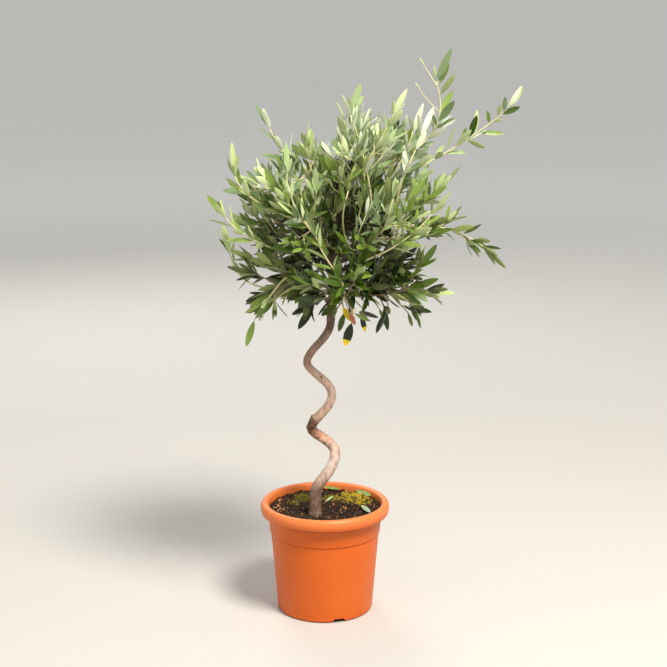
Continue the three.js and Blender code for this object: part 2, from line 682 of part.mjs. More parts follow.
const tree = new THREE.Group();
tree.name = "potted_olive_tree";
tree.add(pot(), pottingMix());
const stem = trunk();
tree.add(meshOf("trunk", stem.solid, "bark"));
const plan = crownPlan();
const limbs = [stem];
plan.forEach((mass) => {
  if (!mass.root) return;
  mass.bough = bough(mass, stem);
  limbs.push(mass.bough);
  tree.add(meshOf(`bough_${mass.name}`, mass.bough.solid, "bark"));
});
plan.forEach((mass, number) => {
  const solid = foliage(mass, number, limbs, plan, mass.bough ?? stem);
  tree.add(meshOf(`foliage_${mass.name}`, solid, "leaf"));
});

export default tree;
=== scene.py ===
import math

import bpy
from mathutils import Matrix, Quaternion, Vector, noise


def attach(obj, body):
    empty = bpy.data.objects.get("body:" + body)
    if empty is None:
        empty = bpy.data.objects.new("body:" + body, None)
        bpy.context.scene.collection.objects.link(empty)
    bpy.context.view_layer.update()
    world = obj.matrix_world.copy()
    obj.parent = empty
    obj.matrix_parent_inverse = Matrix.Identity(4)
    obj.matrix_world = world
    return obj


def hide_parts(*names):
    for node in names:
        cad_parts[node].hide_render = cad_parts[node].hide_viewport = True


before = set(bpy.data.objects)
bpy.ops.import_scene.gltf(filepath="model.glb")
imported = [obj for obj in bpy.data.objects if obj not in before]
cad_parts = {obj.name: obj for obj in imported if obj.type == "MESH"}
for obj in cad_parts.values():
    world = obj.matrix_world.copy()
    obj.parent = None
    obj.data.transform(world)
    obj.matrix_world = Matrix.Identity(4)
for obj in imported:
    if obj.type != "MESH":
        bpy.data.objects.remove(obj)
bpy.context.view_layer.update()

# A potted olive tree with a corkscrew stem. Lengths are in millimetres, as in the part's source, and each
# piece is scaled to metres when its mesh is made. The crown grows by the source's own rule, from the same
# named sizes, and is carried on to finer twigs and to leaves of life size.

MILLIMETRE = 0.001
UP = Vector((0, 0, 1))

# The pot and the potting mix.
LIP_RADIUS = 100
POT_HEIGHT = 173
LIP_DEPTH = 18
LIP_OVERHANG = 10
COLLAR_HEIGHT = 125
COLLAR_RADIUS = 85.4
COLLAR_STEP = 1.2
FOOT_RADIUS = 74.4
FOOT_CHAMFER = 2.6
WALL = 2.2
FLOOR = 3
POT_SIDES = 176
SLOT_COUNT = 4
SLOT_FIRST = -73
SLOT_SIZE = (28, 23, 13)
SLOT_TAPER = 0.36  # how much narrower a slot's top is than its mouth on the floor, as a share
# Painted shade: a dark band painted on the wall just under the lip, between two heights.
PAINTED_SHADE_UNDER_LIP = (149.6, 155.2)  # the dark line under the lip, from and to
MIX_HEIGHT = 158
MIX_EDGE_RISE = 4
MIX_FLAT = 56  # the radius where its rise to the wall begins
MIX_REACH = 82  # how far out anything lies on it
MIX_SIDES = 168
MIX_RINGS = 84
MIX_RELIEF = {"lumps": 2.6, "grain": 0.8, "hollow": 1.5, "moss": 1.8}
HOLLOW = (10, 24)  # round the stem's foot: the radius that is full of it, and its end
MIX_GAP = 0.3  # between the mix and the pot's wall and floor
# The radius and height of each ring down the side of the mix.
MIX_SIDE = [
    (COLLAR_RADIUS - COLLAR_STEP - WALL - MIX_GAP, COLLAR_HEIGHT - 1),
    (FOOT_RADIUS - WALL, FLOOR + 5),
    (70, FLOOR + MIX_GAP),
]
# The pot's inner radius by height, beside the top of the mix.
POT_INSIDE = [
    (COLLAR_HEIGHT + 0.6, COLLAR_RADIUS - WALL + 0.2),
    (POT_HEIGHT - 4, LIP_RADIUS - LIP_OVERHANG - WALL),
]
# Each patch of moss: its middle, the radius that is full of it, the radius where it ends, and its tint.
MOSS_SPOTS = [
    ((44, 52, 160), 17, 28, "moss"),
    ((60, 32, 160), 6, 18, "moss"),
    ((-34, 52, 160), 6, 20, "moss_green"),
    ((-50, 28, 160), 3, 12, "moss_green"),
    ((10, 50, 159), 5, 18, "moss_green"),
]
# What lies loose on the compost: how many pieces, how many of them at the left edge, how far out they lie,
# their size and the power that makes small ones common, their form as shares of that size, how high their
# middle lies as a share of that size and in millimetres, their materials, and the share of the first one.
LOOSE = [
    (1500, 0, 83, (0.8, 2.4), 2, (1, 0.8, 0.7), 0.3, 0, ("crumb", "bark_chip_dark"), 0.8),
    (170, 34, 80, (2.5, 6), 1, (1, 0.35, 0.18), 0, 0.8, ("bark_chip_dark", "bark_chip"), 0.55),
    (90, 0, 83, (0.5, 1.1), 1, (1, 1, 1), 0.5, 0, ("grit",), 1),
]
LOOSE_PAINTS = {"crumb": "compost", "bark_chip_dark": "chip_dark", "bark_chip": "chip", "grit": "grit"}
LEFT_EDGE = ((-80, -62), (-12, 40))  # from and to, in x and in y
# Leaves that lie on the potting mix: foot, tip, width as a share of length, and tint.
FALLEN = [
    ((-6, 79), (25, 77), 0.17, "light"),
    ((46, 78), (72, 44), 0.25, "light"),
    ((0, 18), (13, 50), 0.12, "young"),
    ((56, 4), (69, -34), 0.2, "silver"),
]

# The stem.
FOOT = (-15, -22)
HALF_TURNS = [(189, -15), (252, 16), (290, -20), (342, 11), (393, -27), (456, 9)]
TURN_DEPTH = 11
CENTRED_BY = 330
LEADER_TIP = Vector((22, 0, 644))
LEADER_SWAY = 3
STEM_GIRTH = [
    (158, 10.8), (164, 9.6), (205, 8.6), (252, 8), (300, 7.4), (342, 6.6), (393, 5.9), (456, 6.2),
    (478, 7.8), (505, 5.8), (644, 2.7),
]
STEM_SIDES = 30
STEM_STEP = 1.6
STEM_EASE = 9
STUB = {"height": 299, "length": 15, "azimuth": 90, "rise": 6, "sides": 14, "skew": (-1.2, -1, 0.6)}
STUB_FORM = [(0, 5), (0.4, 4.6), (0.66, 4), (0.84, 3.2), (0.94, 2.2)]  # share of its length, and radius
# The old wound: a rough place, cut off along two slanting edges that are soft mm wide, and its colours.
WOUND = {
    "place": (-26, -12, 296), "full": 14, "end": 19, "soft": 1.5,
    "edges": [((-14, 0, 294.5), (-0.85, 0, 0.53)), ((-17.6, 0, 311.5), (-0.74, 0, -0.67))],
    "tones": [(0.4, (58, 34, 22)), (0.52, (100, 66, 46)), (0.66, (168, 128, 104))],
}
# The bark's colour by height, partly painted light: the tones from 376 to 430 mm are raised to make up for
# the crown's shadow on the stem.
BARK_AND_PAINTED_LIGHT_BY_HEIGHT = [
    (158, (102, 77, 62)), (185, (116, 91, 75)), (205, (148, 120, 103)), (220, (184, 159, 142)),
    (240, (189, 172, 163)), (262, (186, 157, 142)), (272, (184, 142, 120)), (284, (160, 116, 90)),
    (300, (140, 106, 86)), (314, (172, 142, 123)), (345, (168, 142, 127)), (376, (186, 156, 138)),
    (393, (146, 109, 88)), (430, (140, 112, 94)), (462, (98, 72, 54)), (644, (90, 72, 54)),
]
# Marks on the front of the stem, and painted shade: height, place across it, the reach that is full of it,
# its end, and its colour.
BARK_MARKS_AND_PAINTED_SHADE = [
    # The first three: painted shade along the lower left edge of the stem below the wound.
    (284, -4.5, 1.5, 5, (92, 60, 42)),
    (275, -6, 1.5, 4.5, (96, 64, 44)),
    (265, -6.5, 1.5, 4.5, (104, 72, 52)),
    (272, 0.5, 1.8, 4, (236, 172, 152)),
    (278, 5, 1, 3, (176, 96, 44)),
    (262, -3.5, 1.6, 3.4, (84, 56, 40)),
    (262, -3.5, 0.6, 1.6, (226, 204, 180)),
    (274, -3.5, 1.4, 3, (84, 58, 42)),
    (274, -3.5, 0.5, 1.4, (208, 184, 162)),
    (368, 3, 1, 2.6, (70, 50, 38)),
    (326, 5.5, 1, 3.4, (112, 84, 66)),
    (440, -3, 1, 2.4, (64, 46, 36)),
]

# The crown.
CROWN = Vector((26, 0, 616))
CROWN_HALF = Vector((150, 136, 162))
RINGS = [
    {"count": 5, "first": 198, "from": 481, "start": (30, 498), "cell": (96, 512), "tip": (108, 514)},
    {"count": 5, "first": 162, "from": 520, "start": (36, 564), "cell": (106, 604), "tip": (116, 628)},
    {"count": 4, "first": 20, "from": 566, "start": (32, 634), "cell": (84, 682), "tip": (88, 718)},
]
TIERS = ("low", "mid", "high")
TOP = {"cell": 722, "tip": 756}
TWIG_LIFT = {"low": 0.05, "mid": 0.6, "high": 1, "top": 0.8}
SIDE_NAMES = ("right", "right_back", "back", "left_back", "left", "left_front", "front", "right_front")
BOUGH_STAGGER = 7
BOUGH_GIRTH = (4, 2.4)
BOUGH_SAG = 0.14
BOUGH_SIDES = 16
BOUGH_STEP = 3

# Twigs and long shoots, as in the source, but for two shoots at the top right that are moved a little and
# whose leaves above a height (leafy_to) are placed one by one.
FIRST_SEED = 1000
GOLDEN_ANGLE = 137.508
SLOT_JITTER = 50
TWIG_SLOTS = 12
TWIG_REGION = (0.05, 0.88)
TWIG_LENGTH = (36, 92)
TWIG_RIM = (0.62, 0.88)
TWIG_STEP = 4
TWIG_SPREAD = (78, 34)
TWIG_OUTWARDS = 0.45
TWIG_SHORTEST = 22
SHOOT_SPREAD = 40
SHOOT_STIFFNESS = 0.15
GIRTH = {"stalk": (2.2, 1.1), "shoot": (1.7, 0.8), "twig": (1.3, 0.7), "fine": (0.95, 0.55)}
NODE_WIDTH = 2.8
CELL_MARGIN = 1.9
SHOOTS = [
    {"on": "high_right", "slot": 6, "by": (198, 6, 718), "tip": (163, 0, 814), "leafy_to": 742},
    {"on": "high_right", "slot": 2, "by": (188, 12, 704), "tip": (268, 0, 773), "leafy_to": 730},
    {"on": "mid_right", "slot": 6, "by": (184, 22, 610), "tip": (240, 10, 568)},
    {"on": "mid_right", "slot": 10, "by": (152, 28, 636), "tip": (178, 22, 658)},
    {"on": "high_front", "slot": 7, "by": (82, -68, 734), "tip": (98, -60, 768)},
    {"on": "high_left", "slot": 7, "by": (-62, -28, 708), "tip": (-80, -24, 748)},
    {"on": "high_left", "slot": 4, "by": (-82, -24, 656), "tip": (-106, -20, 656)},
    {"on": "mid_left", "slot": 8, "by": (-86, 6, 590), "tip": (-110, -4, 602)},
    {"on": "low_left", "slot": 7, "by": (-78, -44, 504), "tip": (-94, -54, 468)},
    {"on": "low_right", "slot": 8, "by": (112, -28, 502), "tip": (128, -30, 490)},
    {"on": "top", "slot": 6, "by": (28, -6, 742), "tip": (38, -8, 768)},
]

# Finer growth than the source's, for the looks alone.
FINE_SEED = 7000
FINE_LENGTH = (24, 56)
FINE_EARLIEST = 0.6  # the share of the shortest length from where a finer twig may end at the rim
FINE_SPREAD = 42
FINE_JITTER = 16
FINE_SHORTEST = 18
FINE_EVERY = 2  # nodes of a twig from one finer twig to the next
FINE_RIM = (0.8, 1.04)
FINE_LIFT = (0.2, 0.9)  # below and above the middle of the crown
FINE_OWN_TINT = 0.45  # the share of finer twigs whose tint is their own
LIFT_HEIGHTS = (500, 620)  # from where to where that lift grows
# Short twigs straight out of the boughs and the leader. shade is the share of dark ones, in painted shade.
LIMB_TWIGS = {"short_of": 4, "spread": 62, "jitter": 40, "lift": 0.3, "longer": 10, "shade": 0.6}
BOUGH_TWIGS = {"from": 12, "step": 14, "seed": 8000}
LEADER_TWIGS = {"from": 496, "to": 640, "step": 11, "seed": 66, "girth": (5.8, 2.7)}
TWIG_SIDES = {"stalk": 8, "shoot": 6, "twig": 6, "fine": 5}
YOUNG_FROM = 620  # twigs that end above this height are pale

# Leaves.
PAIR_SPACING = {"stalk": 18, "shoot": 18, "twig": 15, "fine": 11.5}
PAIR_FIRST = 10
PAIR_TO_TIP = 3
LEAF_LENGTH = (30, 46)
LAST_PAIR = {"size": 0.72, "spread": (14, 26)}
TIP_LEAF = {"stalk": 42, "shoot": 46, "twig": 43, "fine": 34}
TIP_SIZE = (0.92, 1.04)
TIP_SPREAD = (5, 9)
LEAF_WIDTH = {"stalk": (0.2, 0.27), "shoot": (0.19, 0.28), "twig": (0.2, 0.27), "fine": (0.2, 0.28)}
LEAF_KEEL = 0.5
# A leaf's outline: the share of its length, and the share of its width there.
LEAF_STATIONS = [
    (0, 0.07), (0.08, 0.1), (0.18, 0.5), (0.34, 0.86), (0.54, 1), (0.74, 0.86), (0.9, 0.5), (1, 0.05),
]
# The faces of one length of a leaf: its upper side, then its lower side.
LEAF_UPPER = [(6, 7, 1), (6, 1, 0), (7, 8, 2), (7, 2, 1)]
LEAF_LOWER = [(3, 4, 9), (4, 10, 9), (4, 5, 10), (5, 11, 10)]
LEAF_SPREAD = (46, 26)
SPREAD_JITTER = 22
LEAF_MISSING = 0.07
LEAF_SWAY = 0.3
TIP_SWAY = 0.08
LEAF_FORM = {"bend": (-0.15, 0.55), "fold": (-0.05, 0.35), "twist": (-0.5, 0.5)}
LEAF_RISE = (-0.3, 0.3)  # leaves hang at the crown's underside, and stand up above its middle
RISE_HEIGHTS = (480, 620)
# How far leaves turn flat to the crown's outline, outwards and up.
FACING = {"round": 0.6, "out": 0.35, "up": 0.4}
# The crown's top line from the front, by x and height: only long shoots stand above it.
CROWN_TOP = [
    (-150, 640), (-98, 704), (-30, 728), (4, 720), (22, 752),
    (42, 788), (99, 782), (127, 754), (155, 724), (200, 640),
]
TOP_RAGGED = 16  # how far single leaves may stand above that line
TWIG_BELOW_TOP = 22
# Hardly a leaf hangs below the crown's underside, and none beside the bare top of the stem.
UNDERSIDE = {"height": 468, "share": 0.1, "stem_height": 482, "stem_from": -10, "stem_to": 84, "twigs": 476}
# Tints by place, painted shade inside and below and painted light at the top and rim: how much height, reach
# and chance count, and the steps from dark to pale.
TINT_HEIGHT = (480, 310)
TINT_WEIGHTS = {"height": 0.7, "reach": 0.34, "chance": 0.34}
TINT_REACH = 0.25
TINT_STEPS = [(0.3, "shade"), (0.47, "middle"), (0.64, "light")]

# Leaves that the photograph shows by themselves: the leaf's foot and tip, its tint, its width as a share of
# its length, and the share of it that is green where it ends in yellow.
STRAYS = [
    ((26, -30, 486), (40, -34, 463), "yellow", 0.34, 1),
    ((36, -32, 477), (46, -36, 458), "salmon", 0.34, 1),
    ((41, -30, 462), (30, -38, 426), "shade", 0.36, 0.7),
    ((54, -32, 474), (61, -36, 448), "shade", 0.3, 0.6),
    ((30, -26, 476), (21, -32, 447), "middle", 0.3, 1),
    ((17, -18, 488), (-5, -26, 470), "middle", 0.34, 1),
    ((-14, -18, 488), (-40, -28, 450), "shade", 0.26, 1),
    ((90, -22, 474), (77, -28, 444), "shade", 0.24, 1),
    ((136, -20, 479), (144, -24, 450), "middle", 0.16, 1),
    ((-103, -52, 470), (-116, -58, 430), "light", 0.24, 1),
]
# Pale shoots on the crown's front: where each leaves its limb, two points that it leans towards, its tip, its
# tint, and the share of it that is bare.
FRONT_SHOOTS = [
    ((22, -48, 566), (-8, -108, 590), (-58, -100, 650), (-52, -98, 690), "young", 0.35),
    ((60, -50, 600), (76, -92, 640), (60, -84, 700), (42, -82, 758), "silver", 0.35),
    ((22, -62, 506), (40, -124, 540), (0, -124, 560), (-12, -122, 604), "light", 0.35),
    ((-8, -40, 640), (-14, -44, 670), (-24, -42, 700), (-26, -42, 722), "light", 0.35),
    ((86, -36, 650), (108, -50, 690), (120, -44, 716), (128, -40, 744), "silver", 0.35),
    ((-39, -30, 559), (-90, -70, 579), (-120, -75, 595), (-144, -62, 623), "light", 0.35),
    ((-67, -20, 624), (-99, -56, 639), (-123, -60, 661), (-129, -52, 682), "light", 0.35),
    ((67, -70, 554), (102, -112, 581), (132, -104, 607), (153, -96, 631), "light", 0.35),
    ((91, -60, 634), (105, -92, 679), (126, -84, 708), (137, -72, 737), "silver", 0.35),
    ((48, -60, 572), (45, -100, 595), (53, -110, 617), (60, -108, 633), "silver", 0.35),
    ((17, -60, 603), (23, -100, 625), (29, -108, 647), (34, -100, 664), "middle", 0.35),
    ((85, -60, 597), (90, -100, 619), (92, -108, 638), (98, -100, 655), "light", 0.35),
    ((44, -40, 600), (46, -80, 616), (52, -98, 634), (54, -98, 656), "middle", 0.2),
    ((58, -40, 640), (56, -74, 652), (60, -86, 668), (56, -88, 690), "middle", 0.2),
    ((-46, -48, 532), (-64, -68, 530), (-84, -70, 502), (-102, -54, 473), "light", 0.9),
    ((-84, -28, 516), (-118, -36, 514), (-134, -34, 538), (-140, -30, 566), "light", 0.4),
]
# Leaves on the two shoots at the top right: foot, tip, tint, width as a share of length, and the side that it
# turns to the front.
SHOOT_LEAVES = [
    ((162, -2, 814), (185, -16, 860), "silver", 0.2, "upper"),
    ((163, 2, 806), (183, 16, 840), "middle", 0.21, "upper"),
    ((165, -3, 794), (189, -20, 826), "light", 0.21, "under"),
    ((170, 0, 771), (189, 12, 800), "light", 0.26, "upper"),
    ((170, -2, 751), (188, -20, 786), "silver", 0.25, "upper"),
    ((176, 0, 735), (195, 14, 760), "middle", 0.22, "upper"),
    ((169, -3, 748), (158, -20, 768), "young", 0.36, "upper"),
    ((163, 3, 812), (160, 16, 838), "light", 0.2, "under"),
    ((268, -2, 773), (287, -14, 808), "silver", 0.18, "under"),
    ((268, 0, 773), (293, 14, 805), "light", 0.2, "upper"),
    ((264, -3, 769), (263, -16, 792), "silver", 0.32, "upper"),
    ((262, -3, 765), (284, -18, 778), "middle", 0.26, "upper"),
    ((228, -2, 735), (268, 12, 738), "light", 0.17, "upper"),
    ((242, -2, 751), (240, 16, 771), "middle", 0.3, "upper"),
    ((246, 2, 755), (264, 18, 758), "light", 0.24, "under"),
    ((254, 2, 762), (256, -12, 784), "light", 0.28, "under"),
    ((222, 2, 736), (226, 18, 772), "light", 0.2, "under"),
    ((216, -2, 728), (221, -20, 764), "middle", 0.24, "upper"),
    ((206, -4, 718), (209, 14, 748), "middle", 0.26, "upper"),
    ((212, 3, 724), (236, -16, 718), "light", 0.22, "under"),
]
# Thin twigs beside the tallest shoot, and the length and width of the narrow leaf that ends each.
THIN_LEAF = (16, 0.16)
THIN_TWIGS = [
    ((163, 0, 768), (146, -4, 789), (136, -4, 808)),
    ((161, 0, 809), (153, -2, 823), (142, -3, 843)),
]

# The seeds of what is strewn or placed by itself.
SEEDS = {"chips": 21, "moss": 33, "fallen": 44, "strays": 55, "front_shoots": 77, "shoot_leaves": 88}

# Colours as they look on a screen, from 0 to 255.
PAINT = {
    "pot": (204, 89, 10),
    "pot_sunned": (212, 100, 22),
    # Painted light: the lip paler than the rest of the pot.
    "pot_lip_painted_light": (222, 124, 66),
    "pot_dust": (206, 124, 70),
    # Painted shade under the lip.
    "pot_painted_shade": (112, 40, 6),
    "compost": (28, 18, 9),
    "compost_dry": (94, 62, 34),
    "moss": (196, 168, 16),
    "moss_green": (120, 112, 26),
    "moss_deep": (96, 84, 20),
    "chip": (178, 124, 76),
    "chip_dark": (84, 52, 32),
    "grit": (186, 164, 130),
    "bark": (160, 145, 130),
    "bark_fleck": (206, 194, 180),
    "bark_speck": (66, 50, 40),
    "cut_wood": (232, 214, 190),
    "floor": (192, 190, 186),
    "floor_far": (255, 255, 255),
}
# Upper and lower side of each tint. shade, middle and light are one green in painted shade, between, and
# painted light; young and silver are pale young and silvery leaves, also dealt out as painted light at the
# top and rim.
LEAF_PAINT = {
    "shade": ((29, 44, 5), (84, 94, 42)),
    "middle": ((70, 94, 22), (130, 144, 80)),
    "light": ((113, 137, 58), (166, 182, 122)),
    "young": ((153, 175, 120), (198, 212, 158)),
    "silver": ((112, 135, 90), (216, 224, 192)),
    "yellow": ((232, 202, 20), (212, 188, 64)),
    "salmon": ((206, 126, 90), (208, 144, 110)),
}
TWIG_PAINT = {"young": (206, 200, 148), "woody": (142, 120, 94)}
MOSS_PAINTS = ("moss", "moss_green", "moss_deep")

# The photograph's own camera, a pale floor and soft light, with the lights' places in metres.
CAMERA_PLACE = (13.3, -2063.3, 870)
CAMERA_PITCH = 11.835
LENS = 75.02
FLOOR_HALF = 30000
# Each light: its place, the height that it is turned to, its size, power and colour.
LIGHTS = {
    "key": ((1.0, -1.43, 2.77), 0.45, 1.0, 146, (1.0, 0.94, 0.85)),
    "fill": ((-2.2, -1.6, 1.4), 0.4, 2.2, 10, (0.93, 0.96, 1.0)),
    "back": ((-0.8, 2.4, 2.2), 0.6, 1.6, 34, (1.0, 0.98, 0.94)),
}
SKY = {"Color": (0.98, 0.97, 0.93, 1), "Strength": 0.5}


def mix(a, b, share):
    return a + (b - a) * share


def clamp(value, low=0.0, high=1.0):
    return max(low, min(high, value))


def smooth(value, low, high):
    share = clamp((value - low) / (high - low))
    return share * share * (3 - 2 * share)


def linear(colour):
    """A screen colour from 0 to 255 as the linear values that a shader takes."""
    shares = [part / 255 for part in colour]
    return tuple(s / 12.92 if s <= 0.04045 else ((s + 0.055) / 1.055) ** 2.4 for s in shares) + (1.0,)


def stream(seed):
    """The source's seeded stream of numbers from 0 to 1."""
    mask = 0xFFFFFFFF
    state = seed & mask

    def draw():
        nonlocal state
        state = (state + 0x6D2B79F5) & mask
        t = ((state ^ (state >> 15)) * (state | 1)) & mask
        t ^= (t + (((t ^ (t >> 7)) * (t | 61)) & mask)) & mask
        return ((t ^ (t >> 14)) & mask) / 4294967296

    return draw


def look_up(table, x):
    """The value at x of a table of (x, value) rows, straight between rows."""
    if x <= table[0][0]:
        return table[0][1]
    for (x0, y0), (x1, y1) in zip(table, table[1:]):
        if x <= x1:
            return mix(y0, y1, (x - x0) / (x1 - x0))
    return table[-1][1]


# Meshes.


class Shape:
    """Points and faces gathered for one mesh, with the material of each face."""

    def __init__(self):
        self.points = []
        self.faces = []
        self.paints = []

    def add(self, points, faces, paint=0):
        """Faces in one paint, or in a list of paints, one for each face."""
        first = len(self.points)
        self.points += points
        self.faces += [tuple(first + i for i in face) for face in faces]
        self.paints += paint if isinstance(paint, list) else [paint] * len(faces)

    def skin(self, rings, paint=0, down=False):
        """Faces between rings of points, from the lowest up, or down. A ring of one point is a fan's hub."""
        sides = max(len(ring) for ring in rings)
        points, rows, faces = [], [], []
        for ring in rings:
            rows.append([len(points) + k % len(ring) for k in range(sides)])
            points += ring
        for near, far in zip(rows, rows[1:]):
            for k in range(sides):
                n = (k + 1) % sides
                corners = (near[k], far[k], far[n], near[n]) if down else (near[k], near[n], far[n], far[k])
                faces.append(tuple(dict.fromkeys(corners)))
        self.add(points, faces, paint)


def new_mesh(name, points, faces):
    mesh = bpy.data.meshes.new(name)
    mesh.from_pydata([point * MILLIMETRE for point in points], [], faces)
    return mesh


def new_object(name, data):
    made = bpy.data.objects.new(name, data)
    bpy.context.collection.objects.link(made)
    return made


def piece(name, shape, materials, nodes=(), sharp=None):
    """A named piece of the plant on its one body, in metres."""
    mesh = new_mesh(name, shape.points, shape.faces)
    mesh.polygons.foreach_set("material_index", shape.paints)
    mesh.polygons.foreach_set("use_smooth", [True] * len(shape.faces))
    for material in materials:
        mesh.materials.append(material)
    if sharp is not None:
        mesh.set_sharp_from_angle(angle=math.radians(sharp))
    mesh.update()
    made = new_object(name, mesh)
    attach(made, "root")
    if nodes:
        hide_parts(*nodes)
    return made


def circle(radius, height, sides, shift=0):
    """The points of a level ring, turned on by a share of a step, or its middle where the radius is 0."""
    if radius == 0:
        return [Vector((0, 0, height))]
    turns = [2 * math.pi * (k + shift) / sides for k in range(sides)]
    return [Vector((radius * math.cos(turn), radius * math.sin(turn), height)) for turn in turns]


def rounded(corners, steps=4):
    """A profile of (radius, height, rounding) rows with each marked corner turned into a short arc."""
    out = []
    for i, (r, z, size) in enumerate(corners):
        if not size:
            out.append((r, z))
            continue
        here = Vector((r, z))
        ends = []
        for row in (corners[i - 1], corners[i + 1]):
            way = Vector(row[:2]) - here
            ends.append(here + way.normalized() * min(size, way.length * 0.45))
        start, end = ends
        for k in range(steps + 1):
            t = k / steps
            out.append(tuple(start * (1 - t) ** 2 + here * 2 * t * (1 - t) + end * t * t))
    return out


def square_to(direction):
    guide = Vector((1, 0, 0)) if abs(direction.z) > 0.9 else UP
    return guide.cross(direction).normalized()


def tapered(girth, points):
    """A radius for each point, from the first of girth to the last."""
    return [mix(*girth, i / (len(points) - 1)) for i in range(len(points))]


def add_tube(shape, points, radii, sides, paint=0, ripple=None):
    """A tube round a line of points, closed at both ends. ripple is added to its radius."""
    last = len(points) - 1
    ways = [(points[min(i + 1, last)] - points[max(i - 1, 0)]).normalized() for i in range(last + 1)]
    across = square_to(ways[0])
    rings = [[points[0].copy()]]
    for centre, way, size in zip(points, ways, radii):
        across = (across - way * across.dot(way)).normalized()
        other = way.cross(across)
        ring = []
        for k in range(sides):
            turn = 2 * math.pi * k / sides
            out = across * math.cos(turn) + other * math.sin(turn)
            ring.append(centre + out * (size + (ripple(centre, out, size) if ripple else 0)))
        rings.append(ring)
    shape.skin([*rings, [points[-1].copy()]], paint)


# Lines and the frames along them.


class Line:
    """A line of points that is read by distance along it."""

    def __init__(self, points):
        self.points = points
        self.marks = [0.0]
        for a, b in zip(points, points[1:]):
            self.marks.append(self.marks[-1] + (b - a).length)
        self.length = self.marks[-1]

    def at(self, distance):
        distance = clamp(distance, 0, self.length)
        for i, mark in enumerate(self.marks[1:]):
            if distance <= mark:
                share = (distance - self.marks[i]) / max(mark - self.marks[i], 1e-6)
                return self.points[i].lerp(self.points[i + 1], share)
        return self.points[-1].copy()

    def along(self, distance):
        return (self.at(min(distance + 2, self.length)) - self.at(max(distance - 2, 0))).normalized()

    def even(self, steps):
        """Points at even steps along the line."""
        return [self.at(self.length * i / steps) for i in range(steps + 1)]


def frames_on(line, places, girth, across):
    """A line's frame at each place: its middle, its direction, a side that turns little, and its radius."""
    frames = []
    for place in places:
        along = line.along(place)
        across = (across - along * across.dot(along)).normalized()
        share = clamp(place / line.length)
        frames.append({
            "centre": line.at(place), "along": along, "across": across, "share": share,
            "radius": mix(*girth, share),
        })
    return frames


def spoke(ring, degrees):
    other = ring["along"].cross(ring["across"])
    turn = math.radians(degrees)
    return ring["across"] * math.cos(turn) + other * math.sin(turn)


def leaning(ring, side, spread):
    """The heading of what grows out of a ring, and the face that it turns up."""
    out = spoke(ring, side)
    lean = math.radians(spread)
    heading = ring["along"] * math.cos(lean) + out * math.sin(lean)
    face = ring["along"] * math.sin(lean) - out * math.cos(lean)
    return heading, face


def bezier(knots, count):
    """Points on a Bezier curve through its first and last knot."""
    rows = []
    for i in range(count + 1):
        level = list(knots)
        while len(level) > 1:
            level = [a.lerp(b, i / count) for a, b in zip(level, level[1:])]
        rows.append(level[0])
    return rows


# The source's rule for the stem, the boughs and the twigs.


def stem_place(height):
    """The middle of the stem at a height."""
    middle = mix(FOOT[1], 0, smooth(height, MIX_HEIGHT, CENTRED_BY))
    lowest, highest = HALF_TURNS[0], HALF_TURNS[-1]
    if height <= lowest[0]:
        return Vector((FOOT[0], middle, height))
    if height >= highest[0]:
        share = (height - highest[0]) / (LEADER_TIP.z - highest[0])
        sway = LEADER_SWAY * math.sin(3 * math.pi * share)
        return Vector((mix(highest[1], LEADER_TIP.x, share), mix(0, LEADER_TIP.y, share) + sway, height))
    i = next(k for k, (at, _) in enumerate(HALF_TURNS) if at > height) - 1
    (z0, x0), (z1, x1) = HALF_TURNS[i], HALF_TURNS[i + 1]
    share = (height - z0) / (z1 - z0)
    side = -1 if x1 > x0 else 1
    depth = side * TURN_DEPTH * math.sin(math.pi * share)
    return Vector((mix(x0, x1, (1 - math.cos(math.pi * share)) / 2), middle + depth, height))


def ring_place(azimuth, radius, height):
    return Vector((CROWN.x + radius * math.cos(azimuth), radius * math.sin(azimuth), height))


def crown_plan():
    """Every mass's place in the crown, as in the source."""
    plan = []
    for tier, row in zip(TIERS, RINGS):
        for i in range(row["count"]):
            degrees = (row["first"] + 360 / row["count"] * i) % 360
            azimuth = math.radians(degrees)
            plan.append({
                "name": f"{tier}_{SIDE_NAMES[math.floor(degrees / 45 + 0.5) % 8]}",
                "tier": tier,
                "root": stem_place(row["from"] + BOUGH_STAGGER * ((i * 2) % row["count"])),
                "start": ring_place(azimuth, *row["start"]),
                "seat": ring_place(azimuth, *row["cell"]),
                "tip": ring_place(azimuth, *row["tip"]),
            })
    top = {"seat": ring_place(0, 0, TOP["cell"]), "tip": ring_place(0, 0, TOP["tip"])}
    return [*plan, {"name": "top", "tier": "top", "root": None, **top}]


def bough_line(mass):
    span = (mass["root"] - mass["start"]).length
    pull = mass["root"].lerp(mass["start"], 0.5) - UP * BOUGH_SAG * span
    return bezier([mass["root"], pull, mass["start"]], 10)


def in_cell(point, mass, plan, margin):
    for other in plan:
        if other is mass:
            continue
        apart = (mass["seat"] - other["seat"]).length
        nearer = (point - other["seat"]).length_squared - (point - mass["seat"]).length_squared
        if nearer / (2 * apart) <= margin:
            return False
    return True


def outwardness(point):
    """How far out a point lies: 1 on the crown's even outline."""
    off = point - CROWN
    return Vector((off.x / CROWN_HALF.x, off.y / CROWN_HALF.y, off.z / CROWN_HALF.z)).length


def side_towards(ring, place):
    way = Vector(place) - ring["centre"]
    other = ring["along"].cross(ring["across"])
    return math.degrees(math.atan2(way.dot(other), way.dot(ring["across"]))) % 360


